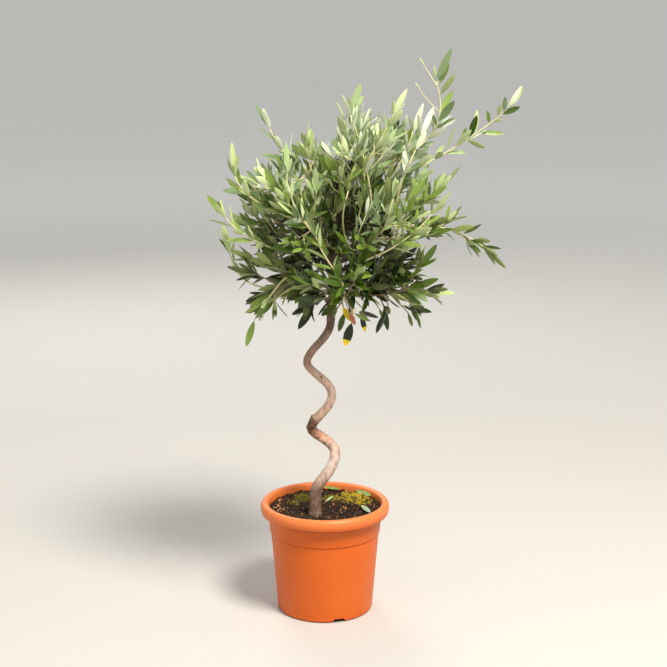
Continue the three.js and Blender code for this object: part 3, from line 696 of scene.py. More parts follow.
def mass_stem(mass, carrier, random):
    """The stem of a mass, the slots of its side twigs, and the side of its first leaves."""
    end = carrier[-1]
    way = (carrier[-1] - carrier[-2]).normalized()
    reach = (end - mass["tip"]).length
    line = Line(bezier([end, end + way * reach * 0.5, mass["tip"]], 16))
    slots = []
    for i in range(TWIG_SLOTS):
        at = line.length * mix(*TWIG_REGION, i / (TWIG_SLOTS - 1))
        side = GOLDEN_ANGLE * i + SLOT_JITTER * random()
        shoot = next((s for s in SHOOTS if s["on"] == mass["name"] and s["slot"] == i), None)
        slots.append({"at": at, "side": side, "shoot": shoot})
    places = [0] + [slot["at"] + half for slot in slots for half in (-NODE_WIDTH / 2, NODE_WIDTH / 2)]
    frames = frames_on(line, places, GIRTH["stalk"], square_to(way))
    for i, slot in enumerate(slots):
        slot["ring"] = frames[2 * i + 1]
        if slot["shoot"]:
            slot["side"] = side_towards(slot["ring"], slot["shoot"]["tip"])
    return line, slots, 360 * random()


def new_twig(points, kind, across, side, bare=PAIR_FIRST, leafy_to=math.inf, woody=False):
    """A twig: its line and kind, the side of its first leaves, its bare length, and its leaves' top."""
    return {
        "points": points, "kind": kind, "girth": GIRTH[kind], "across": across, "side": side,
        "bare": bare, "leafy_to": leafy_to, "woody": woody,
    }


def twig_line(foot, heading, lift, rim, lengths):
    """A side twig turns outwards and up, and ends where it meets its share of the crown's outline."""
    outwards = (foot - CROWN).normalized()
    later = (heading + outwards * TWIG_OUTWARDS + UP * lift).normalized()
    points = [foot]
    point = foot.copy()
    length = 0
    while length < lengths[1]:
        way = heading.lerp(later, length / lengths[1]).normalized()
        point = point + way * TWIG_STEP
        if length > lengths[0] and outwardness(point) > rim:
            break
        points.append(point.copy())
        length += TWIG_STEP
    return points


def kept_points(points, mass, plan, margin, free=False):
    """The points up to where a twig leaves its mass's cell or, unless it is free, the crown's outline."""
    kept = []
    for point in points:
        if not in_cell(point, mass, plan, margin) or not (free or between_lines(point)):
            break
        kept.append(point)
    return kept


def shoot_line(shoot, foot, heading):
    tip = Vector(shoot["tip"])
    reach = (foot - tip).length
    out = foot + heading * reach * SHOOT_STIFFNESS
    return bezier([foot, out, Vector(shoot["by"]), tip], round(reach / TWIG_STEP))


def side_twig(mass, plan, slot, random):
    """A side twig or a long shoot of a mass."""
    ring, shoot = slot["ring"], slot["shoot"]
    kind = "shoot" if shoot else "twig"
    spread = SHOOT_SPREAD if shoot else mix(*TWIG_SPREAD, ring["share"])
    heading, face = leaning(ring, slot["side"], spread)
    foot = ring["centre"] + heading * ((ring["radius"] + GIRTH[kind][0]) / math.sin(math.radians(spread)))
    if shoot:
        points = shoot_line(shoot, foot, heading)
    else:
        points = twig_line(foot, heading, TWIG_LIFT[mass["tier"]], mix(*TWIG_RIM, random()), TWIG_LENGTH)
    kept = kept_points(points, mass, plan, CELL_MARGIN, bool(shoot))
    if len(kept) * TWIG_STEP < TWIG_SHORTEST:
        return None
    leafy_to = (shoot or {}).get("leafy_to", math.inf)
    return new_twig([ring["centre"], *kept], kind, -face, 360 * random(), leafy_to=leafy_to)


# Leaves, and the finer growth.


def add_leaf(shape, foot, heading, face, size, width, kind, form, end=None):
    """A leaf: an upper and a lower sheet that meet at its margins, folded along its keel, bent and twisted.
    end gives the share of its length beyond which it takes another tint, and that tint."""
    bend, fold, twist = form
    face = (face - heading * face.dot(heading)).normalized()
    right = face.cross(heading).normalized()
    points, faces, paints = [], [], []
    point = foot.copy()
    last = 0.0
    for share, half in LEAF_STATIONS:
        turn = bend * (share + last) / 2
        way = heading * math.cos(turn) - face * math.sin(turn)
        point = point + way * ((share - last) * size)
        last = share
        across = Quaternion(way, twist * share) @ right
        up = way.cross(across).normalized()
        reach = across * (half * width * size / 2)
        keel = point - up * (fold * reach.length)
        below = keel - up * LEAF_KEEL * min(1, half + 0.3)
        points += [point - reach, keel, point + reach, point - reach, below, point + reach]
    for k, (share, _) in enumerate(LEAF_STATIONS[:-1]):
        over, under = paints_of(end[1] if end and share >= end[0] else kind)
        faces += [tuple(6 * k + i for i in corners) for corners in LEAF_UPPER + LEAF_LOWER]
        paints += [over] * len(LEAF_UPPER) + [under] * len(LEAF_LOWER)
    shape.add(points, faces, paints)


def paints_of(kind):
    """The material numbers of a leaf's upper and lower side."""
    first = 2 * list(LEAF_PAINT).index(kind)
    return first, first + 1


def leaf_between(shape, foot, tip, face, width, kind, form, end=None):
    add_leaf(shape, foot, (tip - foot).normalized(), face, (tip - foot).length, width, kind, form, end)


def spray_kind(point, random):
    """The tints of a spray, dealt out by its place: painted shade inside and below, painted light at the top
    and rim.
    """
    high = clamp((point.z - TINT_HEIGHT[0]) / TINT_HEIGHT[1])
    place = TINT_WEIGHTS["height"] * high + TINT_WEIGHTS["reach"] * clamp(outwardness(point) - TINT_REACH)
    value = place + TINT_WEIGHTS["chance"] * (random() - 0.5)
    for limit, kind in TINT_STEPS:
        if value < limit:
            return kind
    return "young" if random() < 0.5 else "silver"


def astray(tip, kind, random):
    """Whether a leaf with this tip would hang below the crown's underside or stand above its top line."""
    if tip.z < UNDERSIDE["stem_height"] and UNDERSIDE["stem_from"] < tip.x < UNDERSIDE["stem_to"]:
        return True
    if tip.z < UNDERSIDE["height"]:
        return random() > UNDERSIDE["share"]
    return kind != "shoot" and tip.z > look_up(CROWN_TOP, tip.x) + TOP_RAGGED * random()


def between_lines(point):
    """Whether a twig's point lies between the crown's underside and its top line."""
    return UNDERSIDE["twigs"] < point.z < look_up(CROWN_TOP, point.x) - TWIG_BELOW_TOP


def flattened(place, face):
    """What turns a leaf's face, or its back, so that few leaves are seen edge on from any side."""
    out = Vector((place.x - CROWN.x, place.y - CROWN.y, 0)).normalized()
    round_crown = UP.cross(out)
    turn = round_crown * math.copysign(FACING["round"], face.dot(round_crown))
    return turn + out * math.copysign(FACING["out"], face.dot(out)) + UP * FACING["up"]


def leaf_on(shapes, kind, ring, side, spread, size, tints, random, sway=LEAF_SWAY):
    heading, face = leaning(ring, side, spread)
    stray = Vector((random() - 0.5, random() - 0.5, random() - 0.5))
    calm = min(1, sway / LEAF_SWAY)
    rise = mix(*LEAF_RISE, smooth(ring["centre"].z, *RISE_HEIGHTS)) * calm
    heading = (heading + stray * sway + UP * rise).normalized()
    foot = ring["centre"] + spoke(ring, side) * ring["radius"] * 0.6
    if astray(foot + heading * size, kind, random):
        return
    bend = mix(*LEAF_FORM["bend"], random()) * calm
    form = (bend, mix(*LEAF_FORM["fold"], random()), mix(*LEAF_FORM["twist"], random()))
    width = mix(*LEAF_WIDTH[kind], random())
    face = face + flattened(ring["centre"], face)
    add_leaf(shapes["leaves"], foot, heading, face, size, width, tints, form)


def pair_leaves(twig, frames, shapes, tints, random):
    """Leaves in opposite pairs, each pair a quarter turn on."""
    for k, ring in enumerate(frames):
        side = twig["side"] + 90 * k
        for turn in (side, side + 180):
            if random() < LEAF_MISSING or ring["centre"].z > twig["leafy_to"]:
                continue
            size = mix(*LEAF_LENGTH, random()) * mix(1, 0.8, ring["share"] ** 3)
            spread = mix(*LEAF_SPREAD, ring["share"]) + SPREAD_JITTER * (random() - 0.5)
            leaf_on(shapes, twig["kind"], ring, turn, spread, size, tints, random)


def tip_leaves(twig, last_ring, tip, shapes, tints, random):
    """A small last pair that leans ahead, and the leaf at the very tip."""
    kind = twig["kind"]
    for turn in (0, 180):
        size = mix(*LEAF_LENGTH, random()) * LAST_PAIR["size"]
        spread = mix(*LAST_PAIR["spread"], random())
        leaf_on(shapes, kind, last_ring, twig["side"] + 90 + turn, spread, size, tints, random)
    size = TIP_LEAF[kind] * mix(*TIP_SIZE, random())
    leaf_on(shapes, kind, tip, twig["side"], mix(*TIP_SPREAD, random()), size, tints, random, TIP_SWAY)


def dress(twig, shapes, tints, random):
    """A twig's leaves and its own tube. Returns the frames at its pairs of leaves."""
    line = Line(twig["points"])
    kind, girth = twig["kind"], twig["girth"]
    spacing = PAIR_SPACING[kind]
    count = max(int((line.length - twig["bare"]) / spacing), 1)
    places = [line.length - PAIR_TO_TIP - (count - 1 - k) * spacing for k in range(count)]
    frames = frames_on(line, places, girth, twig["across"])
    tip = frames_on(line, [line.length], girth, twig["across"])[0]
    pair_leaves(twig, frames, shapes, tints, random)
    if tip["centre"].z <= twig["leafy_to"]:
        tip_leaves(twig, frames[-1], tip, shapes, tints, random)
    points = line.even(max(int(line.length / 5), 2))
    young = kind == "shoot" or (not twig["woody"] and (kind == "fine" or twig["points"][-1].z > YOUNG_FROM))
    add_tube(shapes["twigs"], points, tapered(girth, points), TWIG_SIDES[kind], 0 if young else 1)
    return frames


def finer_twigs(twig, frames, mass, plan, random):
    """Finer twigs out of the axils of every few pairs of leaves."""
    made = []
    for k in range(0, len(frames) - 1, FINE_EVERY):
        ring = frames[k]
        side = twig["side"] + 90 * k + (180 if random() < 0.5 else 0)
        heading, face = leaning(ring, side, FINE_SPREAD + FINE_JITTER * (random() - 0.5))
        lengths = (FINE_LENGTH[0] * FINE_EARLIEST, mix(*FINE_LENGTH, random()))
        rim = mix(*FINE_RIM, random())
        lift = TWIG_LIFT[mass["tier"]] + mix(*FINE_LIFT, smooth(ring["centre"].z, *LIFT_HEIGHTS))
        kept = kept_points(twig_line(ring["centre"], heading, lift, rim, lengths), mass, plan, 0)
        if len(kept) * TWIG_STEP >= FINE_SHORTEST:
            made.append(new_twig(kept, "fine", -face, 360 * random()))
    return made


def spray(twig, mass, plan, shapes, random):
    """A twig with its finer twigs and all their leaves, in one set of tints."""
    tints = spray_kind(twig["points"][-1], random)
    frames = dress(twig, shapes, tints, random)
    for fine in finer_twigs(twig, frames, mass, plan, random):
        own = spray_kind(fine["points"][-1], random) if random() < FINE_OWN_TINT else tints
        dress(fine, shapes, own, random)


def foliage(mass, number, plan, carrier, shapes):
    """One mass: its stem, side twigs and long shoots by the source's rule, and the finer growth on them."""
    random = stream(FIRST_SEED + number)
    line, slots, pair_side = mass_stem(mass, carrier, random)
    twigs = [side_twig(mass, plan, slot, random) for slot in slots]
    fine = stream(FINE_SEED + number)
    for twig in filter(None, twigs):
        spray(twig, mass, plan, shapes, fine)
        shapes["limbs"].append(twig["points"])
    shapes["limbs"].append(line.points)
    stalk = new_twig(line.points, "stalk", square_to(line.along(0)), pair_side)
    dress(stalk, shapes, spray_kind(mass["tip"], fine), fine)


def limb_twigs(line, girth, start, step, shapes, random):
    """Short leafy twigs straight out of a bough or the leader, turned by the golden angle."""
    places = []
    while start + step * len(places) < line.length - LIMB_TWIGS["short_of"]:
        places.append(start + step * len(places))
    lengths = (FINE_LENGTH[0], FINE_LENGTH[1] + LIMB_TWIGS["longer"])
    for k, ring in enumerate(frames_on(line, places, girth, square_to(line.along(start)))):
        side = GOLDEN_ANGLE * k + LIMB_TWIGS["jitter"] * random()
        heading, face = leaning(ring, side, LIMB_TWIGS["spread"])
        points = twig_line(ring["centre"], heading, LIMB_TWIGS["lift"], FINE_RIM[0], lengths)
        twig = new_twig(points, "fine", -face, 360 * random(), woody=True)
        # Twigs inside the crown, most of them in the painted-shade tint.
        dress(twig, shapes, "shade" if random() < LIMB_TWIGS["shade"] else "middle", random)


# Materials.


def plain(name, colour, roughness, more=None):
    """A plain material. more holds further values of its shader by name."""
    material = bpy.data.materials.new(name)
    material.use_nodes = True
    shader = material.node_tree.nodes["Principled BSDF"]
    values = {"Base Color": linear(colour), "Roughness": roughness, **(more or {})}
    for key, value in values.items():
        shader.inputs[key].default_value = value
    return material


class Nodes:
    """Short names for the nodes that feed one material's shader."""

    def __init__(self, material):
        self.material = material
        self.tree = material.node_tree
        self.shader = self.tree.nodes["Principled BSDF"]
        self.place = self.make("ShaderNodeTexCoord", "Object", {})

    def feed(self, node, values):
        """Each value, by its input's name or number, is a constant or another node's output."""
        for key, value in values.items():
            if isinstance(value, bpy.types.NodeSocket):
                self.tree.links.new(value, node.inputs[key])
            else:
                node.inputs[key].default_value = value

    def make(self, kind, output, values, **settings):
        """The output of a new node."""
        node = self.tree.nodes.new(kind)
        for key, value in settings.items():
            setattr(node, key, value)
        self.feed(node, values)
        return node.outputs[output]

    def noise(self, scale, detail=4.0, roughness=0.6, stretch=None):
        place = self.place
        if stretch:
            place = self.make("ShaderNodeMapping", "Vector", {"Vector": place, "Scale": stretch})
        values = {"Vector": place, "Scale": scale, "Detail": detail, "Roughness": roughness}
        return self.make("ShaderNodeTexNoise", "Fac", values)

    def ramp(self, value, stops):
        colour = self.make("ShaderNodeValToRGB", "Color", {"Fac": value})
        elements = colour.node.color_ramp.elements
        while len(elements) < len(stops):
            elements.new(0.5)
        for element, (position, paint) in zip(elements, stops):
            element.position = position
            element.color = paint
        return colour

    def mask(self, value, low, high):
        return self.ramp(value, [(low, (0, 0, 0, 1)), (high, (1, 1, 1, 1))])

    def maths(self, how, *values):
        return self.make("ShaderNodeMath", "Value", dict(enumerate(values)), operation=how)

    def blend(self, share, first, second, how="MIX"):
        values = {"Factor": share, "A": first, "B": second}
        return self.make("ShaderNodeMix", "Result", values, data_type="RGBA", blend_type=how)

    def over(self, colour, mask, strength, paint):
        """A colour with a paint laid over it where a mask is white."""
        return self.blend(self.maths("MULTIPLY", mask, strength), colour, linear(paint))

    def height(self):
        return self.make("ShaderNodeSeparateXYZ", "Z", {"Vector": self.place})

    def near(self, spot, low, high):
        """1 within low of a spot in millimetres, and 0 beyond high."""
        spot = Vector(spot) * MILLIMETRE
        gap = self.make("ShaderNodeVectorMath", "Value", {0: self.place, 1: spot}, operation="DISTANCE")
        share = self.maths("DIVIDE", gap, high * MILLIMETRE)
        return self.ramp(share, [(low / high, (1, 1, 1, 1)), (1, (0, 0, 0, 1))])

    def beyond(self, spot, way, soft):
        """1 beyond a plane through a spot, on the side that way points to, with a soft edge."""
        way = Vector(way)
        reach = self.make("ShaderNodeVectorMath", "Value", {0: self.place, 1: way}, operation="DOT_PRODUCT")
        past = self.maths("SUBTRACT", reach, Vector(spot).dot(way) * MILLIMETRE)
        return self.mask(self.maths("DIVIDE", past, soft * MILLIMETRE), 0, 1)

    def finish(self, colour, relief, strength, distance):
        """The finished material, with its colour, and a relief bumped up by a distance in millimetres."""
        values = {"Height": relief, "Strength": strength, "Distance": distance * MILLIMETRE}
        normal = self.make("ShaderNodeBump", "Normal", values)
        self.feed(self.shader, {"Base Color": colour, "Normal": normal})
        return self.material


def plastic():
    """Moulded terracotta-coloured plastic: a little cloudy, dusty in spots, with faint moulding grain,
    painted light on the lip and painted shade under it.
    """
    n = Nodes(plain("terracotta_plastic", PAINT["pot"], 0.42, {"Specular IOR Level": 0.35}))
    cloud = n.mask(n.noise(9, 3), 0.35, 0.7)
    colour = n.blend(cloud, linear(PAINT["pot"]), linear(PAINT["pot_sunned"]))
    # Painted light: the lip paler than the body, fading in from its lower edge.
    rim = n.beyond((0, 0, POT_HEIGHT - LIP_DEPTH + 1), UP, 9)
    colour = n.over(colour, rim, 0.8, PAINT["pot_lip_painted_light"])
    # Painted shade: a dark line on the wall just under the lip.
    painted_shade = n.maths("SUBTRACT", n.beyond((0, 0, PAINTED_SHADE_UNDER_LIP[0]), UP, 2), n.beyond((0, 0, PAINTED_SHADE_UNDER_LIP[1]), UP, 0.3))
    colour = n.over(colour, painted_shade, 0.7, PAINT["pot_painted_shade"])
    colour = n.over(colour, n.mask(n.noise(60, 6, 0.7), 0.58, 0.74), 0.35, PAINT["pot_dust"])
    n.feed(n.shader, {"Roughness": n.maths("MULTIPLY_ADD", n.noise(120, 4), 0.22, 0.32)})
    return n.finish(colour, n.noise(900, 2), 0.12, 0.15)


def compost_material():
    """Dark compost with drier crumbs, and moss in patches."""
    n = Nodes(plain("compost", PAINT["compost"], 0.95, {"Specular IOR Level": 0.2}))
    crumbs = n.mask(n.noise(330, 6, 0.7), 0.5, 0.66)
    colour = n.blend(crumbs, linear(PAINT["compost"]), linear(PAINT["compost_dry"]))
    moss = 0
    for spot, low, high, _ in MOSS_SPOTS:
        moss = n.maths("MAXIMUM", n.near(spot, low, high), moss)
    ragged = n.maths("MULTIPLY", moss, n.mask(n.noise(150, 5, 0.7), 0.36, 0.56))
    fine = n.mask(n.noise(420, 3), 0.4, 0.62)
    tint = n.blend(fine, linear(PAINT["moss_deep"]), linear(PAINT["moss_green"]))
    return n.finish(n.blend(ragged, colour, tint), n.noise(700, 5, 0.7), 0.7, 1.2)


def bark_spot(height, aside):
    """The place on the stem's front at a height, so far across it."""
    middle = stem_place(height)
    radius = look_up(STEM_GIRTH, height)
    return middle.x + aside, middle.y - math.sqrt(max(radius * radius - aside * aside, 0)), height


def bark():
    """Smooth young bark: pale below, dark and reddish at the old wound, grey-brown above, finely cracked."""
    n = Nodes(plain("olive_bark", PAINT["bark"], 0.6))
    low, high = BARK_AND_PAINTED_LIGHT_BY_HEIGHT[0][0], BARK_AND_PAINTED_LIGHT_BY_HEIGHT[-1][0]
    share = n.maths("DIVIDE", n.maths("SUBTRACT", n.height(), low * MILLIMETRE), (high - low) * MILLIMETRE)
    wobble = n.maths("SUBTRACT", n.maths("MULTIPLY", n.noise(70, 3), 0.02), 0.01)
    stops = [((z - low) / (high - low), linear(paint)) for z, paint in BARK_AND_PAINTED_LIGHT_BY_HEIGHT]
    shades = [(0.3, (0.52, 0.46, 0.42, 1)), (0.62, (1.18, 1.15, 1.12, 1))]
    cracks = n.ramp(n.noise(160, 5, 0.7, (1, 1, 0.35)), shades)
    colour = n.blend(1, n.ramp(n.maths("ADD", share, wobble), stops), cracks, "MULTIPLY")
    fleck = n.mask(n.noise(240, 6, 0.72, (1, 1, 0.45)), 0.42, 0.68)
    colour = n.over(colour, fleck, 0.22, PAINT["bark_fleck"])
    # Marks on the bark, and painted shade on its lower left edge below the wound.
    for height, aside, full, end, paint in BARK_MARKS_AND_PAINTED_SHADE:
        colour = n.over(colour, n.near(bark_spot(height, aside), full, end), 0.85, paint)
    specks = n.mask(n.noise(95, 2, 0.4, (1, 1, 0.7)), 0.68, 0.74)
    colour = n.over(colour, specks, 0.65, PAINT["bark_speck"])
    wound = n.near(WOUND["place"], WOUND["full"], WOUND["end"])
    for edge in WOUND["edges"]:
        wound = n.maths("MULTIPLY", wound, n.beyond(*edge, WOUND["soft"]))
    crust = n.noise(360, 5, 0.75)
    mottle = n.ramp(crust, [(at, linear(paint)) for at, paint in WOUND["tones"]])
    relief = n.maths("ADD", n.noise(260, 6, 0.7, (1, 1, 0.3)), n.maths("MULTIPLY", wound, crust))
    return n.finish(n.blend(wound, colour, mottle), relief, 0.55, 0.8)


def leaf_materials():
    """Plain tints of the leaves' upper and lower sides, in the order of their numbers."""
    made = []
    for kind, (upper, lower) in LEAF_PAINT.items():
        made.append(plain(f"leaf_upper_{kind}", upper, 0.38, {"Specular IOR Level": 0.55}))
        made.append(plain(f"leaf_lower_{kind}", lower, 0.7, {"Sheen Weight": 0.15}))
    return made


# The pieces.


def make_pot():
    skirt = POT_HEIGHT - LIP_DEPTH
    lip_wall = LIP_RADIUS - LIP_OVERHANG
    slope = (COLLAR_RADIUS - COLLAR_STEP - FOOT_RADIUS) / (COLLAR_HEIGHT - 1)
    corners = [
        (0, 0, 0),
        (FOOT_RADIUS - FOOT_CHAMFER - 1, 0, 0.8),
        (FOOT_RADIUS - 0.5, FOOT_CHAMFER - 0.6, 1.2),
        (FOOT_RADIUS + 0.3, 7.2, 0.2),
        (FOOT_RADIUS - 0.3, 7.5, 0),
        (FOOT_RADIUS + 0.1, 8.6, 0.2),
        (COLLAR_RADIUS - COLLAR_STEP - 0.1, COLLAR_HEIGHT - 1.5, 0.2),
        (COLLAR_RADIUS - COLLAR_STEP - 0.7, COLLAR_HEIGHT - 0.9, 0),
        (COLLAR_RADIUS + 0.1, COLLAR_HEIGHT, 0.25),
        (lip_wall - 0.6, POT_HEIGHT - 8, 1.5),
        (LIP_RADIUS - 3.4, POT_HEIGHT - 7, 1.5),
        (LIP_RADIUS - 3.6, skirt + 0.4, 0.2),
        (LIP_RADIUS - 1.9, skirt, 0.5),
        (LIP_RADIUS - 0.4, skirt + 5, 2),
        (LIP_RADIUS, skirt + 10.5, 4),
        (LIP_RADIUS - 1.1, POT_HEIGHT - 3.4, 3),
        (LIP_RADIUS - 4.6, POT_HEIGHT, 3),
        (lip_wall - WALL + 1.4, POT_HEIGHT - 1.4, 2.4),
        (lip_wall - WALL, POT_HEIGHT - 5, 2.4),
        (COLLAR_RADIUS - WALL, COLLAR_HEIGHT, 1),
        (FOOT_RADIUS - WALL + 5 * slope, FLOOR + 5, 2),
        (FOOT_RADIUS - FOOT_CHAMFER - 2, FLOOR, 1),
        (0, FLOOR, 0),
    ]
    shape = Shape()
    shape.skin([circle(radius, height, POT_SIDES) for radius, height in rounded(corners)])
    cut_slots(piece("pot_shell", shape, [plastic()], ["pot"], sharp=32))


def cut_slots(pot):
    """The drainage slots in the foot's edge."""
    cutter = Shape()
    faces = [(0, 1, 3, 2), (4, 6, 7, 5), (0, 4, 5, 1), (2, 3, 7, 6), (0, 2, 6, 4), (1, 5, 7, 3)]
    length, width, height = (part / 2 for part in SLOT_SIZE)
    for i in range(SLOT_COUNT):
        turn = Matrix.Rotation(math.radians(SLOT_FIRST + 360 / SLOT_COUNT * i), 3, "Z")
        corners = [
            turn @ Vector((FOOT_RADIUS + sx * length, sy * width * (1 - sz * SLOT_TAPER), sz * height))
            for sx in (-1, 1) for sy in (-1, 1) for sz in (-1, 1)
        ]
        cutter.add(corners, faces)
    tool = new_object("slot_cutter", new_mesh("slot_cutter", cutter.points, cutter.faces))
    cut = pot.modifiers.new("slots", "BOOLEAN")
    cut.operation = "DIFFERENCE"
    cut.object = tool
    cut.solver = "EXACT"
    made = bpy.data.meshes.new_from_object(pot.evaluated_get(bpy.context.evaluated_depsgraph_get()))
    pot.modifiers.clear()
    pot.data = made
    bpy.data.objects.remove(tool)


def mix_height(x, y):
    """The height of the potting mix's uneven top."""
    dish = MIX_HEIGHT + MIX_EDGE_RISE * smooth(math.hypot(x, y), MIX_FLAT, MIX_REACH)
    lumps = MIX_RELIEF["lumps"] * noise.fractal(Vector((x, y, 3)) * 0.09, 0.7, 2.2, 4)
    grain = MIX_RELIEF["grain"] * noise.noise(Vector((x, y, 9)) * 0.9)
    hollow = MIX_RELIEF["hollow"] * (1 - smooth(math.hypot(x - FOOT[0], y - FOOT[1]), *HOLLOW))
    moss = max(1 - smooth(math.hypot(x - mx, y - my), low, high) for (mx, my, _), low, high, _ in MOSS_SPOTS)
    return dish + lumps + grain - hollow + MIX_RELIEF["moss"] * moss


def on_mix(x, y, rise=0.0):
    return Vector((x, y, mix_height(x, y) + rise))


def make_compost():
    inner = look_up(POT_INSIDE, MIX_HEIGHT + MIX_EDGE_RISE) - MIX_GAP
    rings = []
    for i in range(MIX_RINGS + 1):
        ring = circle(inner * i / MIX_RINGS, 0, MIX_SIDES, 0.5 * (i % 2))
        rings.append([on_mix(point.x, point.y) for point in ring])
    rings += [circle(radius, height, MIX_SIDES) for radius, height in MIX_SIDE]
    shape = Shape()
    shape.skin(rings, down=True)
    last = len(shape.points) - 1
    shape.faces.append(tuple(range(last, last - MIX_SIDES, -1)))
    shape.paints.append(0)
    piece("compost", shape, [compost_material()], ["potting_mix"], sharp=50)


def add_lump(shape, centre, size, paint, random):
    """A crumb or chip: an octahedron pushed out of shape."""
    turn = Quaternion((random() - 0.5, random() - 0.5, random() - 0.5, random() - 0.5)).normalized()
    points = []
    for end in ((1, 0, 0), (-1, 0, 0), (0, 1, 0), (0, -1, 0), (0, 0, 1), (0, 0, -1)):
        local = Vector([part * reach for part, reach in zip(end, size)]) * mix(0.7, 1.2, random())
        points.append(centre + turn @ local)
    faces = [(0, 2, 4), (2, 1, 4), (1, 3, 4), (3, 0, 4), (2, 0, 5), (1, 2, 5), (3, 1, 5), (0, 3, 5)]
    shape.add(points, faces, paint)


def make_chips():
    """Crumbs, bark chips and grit lying on the compost, more of the chips at its left edge."""
    random = stream(SEEDS["chips"])
    shape = Shape()
    for count, at_edge, limit, sizes, power, form, raised, lifted, paints, first_share in LOOSE:
        for i in range(count):
            turn, radius = 2 * math.pi * random(), MIX_REACH * math.sqrt(random())
            x, y = radius * math.cos(turn), radius * math.sin(turn)
            if i < at_edge:
                x, y = mix(*LEFT_EDGE[0], random()), mix(*LEFT_EDGE[1], random())
            if math.hypot(x, y) > limit:
                continue
            size = mix(*sizes, random() ** power)
            paint = paints[0] if len(paints) == 1 or random() < first_share else paints[1]
            centre = on_mix(x, y, size * raised + lifted)
            add_lump(shape, centre, [size * part for part in form], list(LOOSE_PAINTS).index(paint), random)
    materials = [plain(name, PAINT[paint], 0.9) for name, paint in LOOSE_PAINTS.items()]
    piece("compost_chips", shape, materials, sharp=20)


def make_moss():
    """Short moss: tufts of upright blades crowded on its patches."""
    random = stream(SEEDS["moss"])
    shape = Shape()
    for (mx, my, _), _, end, tint in MOSS_SPOTS:
        for _ in range(4 * end * end):
            turn, radius = 2 * math.pi * random(), end * 0.9 * random() ** 0.7
            x, y = mx + radius * math.cos(turn), my + radius * math.sin(turn)
            if math.hypot(x, y) > MIX_REACH or noise.noise(Vector((x, y, 0)) * 0.16) < -0.12:
                continue
            size = mix(1.2, 2.8, random()) * mix(1, 0.6, radius / end)
            foot = on_mix(x, y, -0.3)
            lean = Vector((random() - 0.5, random() - 0.5, 1.1)).normalized()
            side = square_to(lean) * 0.4
            other = lean.cross(side)
            points = [foot + side, foot - side * 0.5 + other, foot - side * 0.5 - other, foot + lean * size]
            paint = MOSS_PAINTS.index(tint if random() < 0.74 else "moss_deep")
            shape.add(points, [(0, 1, 3), (1, 2, 3), (2, 0, 3)], paint)
    piece("moss", shape, [plain(name, PAINT[name], 0.9) for name in MOSS_PAINTS])


def make_fallen_leaves(leaf_paints):
    random = stream(SEEDS["fallen"])
    shape = Shape()
    for start, end, width, kind in FALLEN:
        face = Vector((0.3 * (random() - 0.5), -0.75, 1))
        form = (0.15, 0.15, mix(-0.2, 0.2, random()))
        leaf_between(shape, on_mix(*start, 5), on_mix(*end, 5), face, width, kind, form)
    piece("fallen_leaves", shape, leaf_paints)


def wound_share(spot):
    """How far a spot lies in the wound, from 0 to 1."""
    share = 1 - smooth((spot - Vector(WOUND["place"])).length, WOUND["full"], WOUND["end"])
    for edge, way in WOUND["edges"]:
        share *= smooth((spot - Vector(edge)).dot(Vector(way)), -WOUND["soft"], WOUND["soft"])
    return share


def bark_ripple(centre, out, radius):
    """The bark's relief: low swellings, long wrinkles, pits, and the rough swollen wound."""
    spot = centre + out * radius
    swell = 0.05 * noise.noise(spot * 0.045)
    wrinkle = 0.03 * noise.noise(Vector((spot.x * 0.55, spot.y * 0.55, spot.z * 0.09)))
    pit = 0.018 * noise.noise(spot * 0.6)
    rough = 0.05 + 0.2 * noise.noise(spot * 0.36) + 0.1 * noise.noise(spot * 0.9)
    return radius * (swell + wrinkle + pit + wound_share(spot) * rough)


def eased_place(height):
    """The stem's middle, averaged a little up and down near its foot so that its first bend is no crease."""
    if height > HALF_TURNS[0][0] + STEM_EASE:
        return stem_place(height)
    spots = [stem_place(height + STEM_EASE * share) for share in (-1, -0.5, 0, 0.5, 1)]
    return sum(spots, Vector()) / len(spots)


def make_stem(bark_material):
    shape = Shape()
    foot = MIX_HEIGHT - 3
    steps = round((LEADER_TIP.z - foot) / STEM_STEP)
    heights = [mix(foot, LEADER_TIP.z, i / steps) for i in range(steps + 1)]
    radii = [look_up(STEM_GIRTH, height) for height in heights]
    add_tube(shape, [eased_place(height) for height in heights], radii, STEM_SIDES, 0, bark_ripple)
    azimuth = math.radians(STUB["azimuth"])
    heading = Vector((math.cos(azimuth), math.sin(azimuth), STUB["rise"])).normalized()
    base = stem_place(STUB["height"])
    points = [base + heading * STUB["length"] * share for share, _ in STUB_FORM]
    points[-1] += Vector(STUB["skew"])
    add_tube(shape, points, [radius for _, radius in STUB_FORM], STUB["sides"], 0, bark_ripple)
    shape.paints[-STUB["sides"]:] = [1] * STUB["sides"]
    materials = [bark_material, plain("pruned_wood", PAINT["cut_wood"], 0.8)]
    piece("stem_bark", shape, materials, ["trunk"], sharp=60)


def make_boughs(plan, bark_material):
    shape = Shape()
    lines = {mass["name"]: bough_line(mass) for mass in plan if mass["root"] is not None}
    for points in lines.values():
        line = Line(points)
        fine = line.even(max(round(line.length / BOUGH_STEP), 4))
        add_tube(shape, fine, tapered(BOUGH_GIRTH, fine), BOUGH_SIDES, 0, bark_ripple)
    piece("bough_bark", shape, [bark_material], [f"bough_{name}" for name in lines], sharp=60)
    return lines


def on_limb(limbs, place):
    """The point of the limbs, shoots and twigs that is nearest to a place."""
    return min((point for line in limbs for point in line), key=lambda point: (point - place).length)


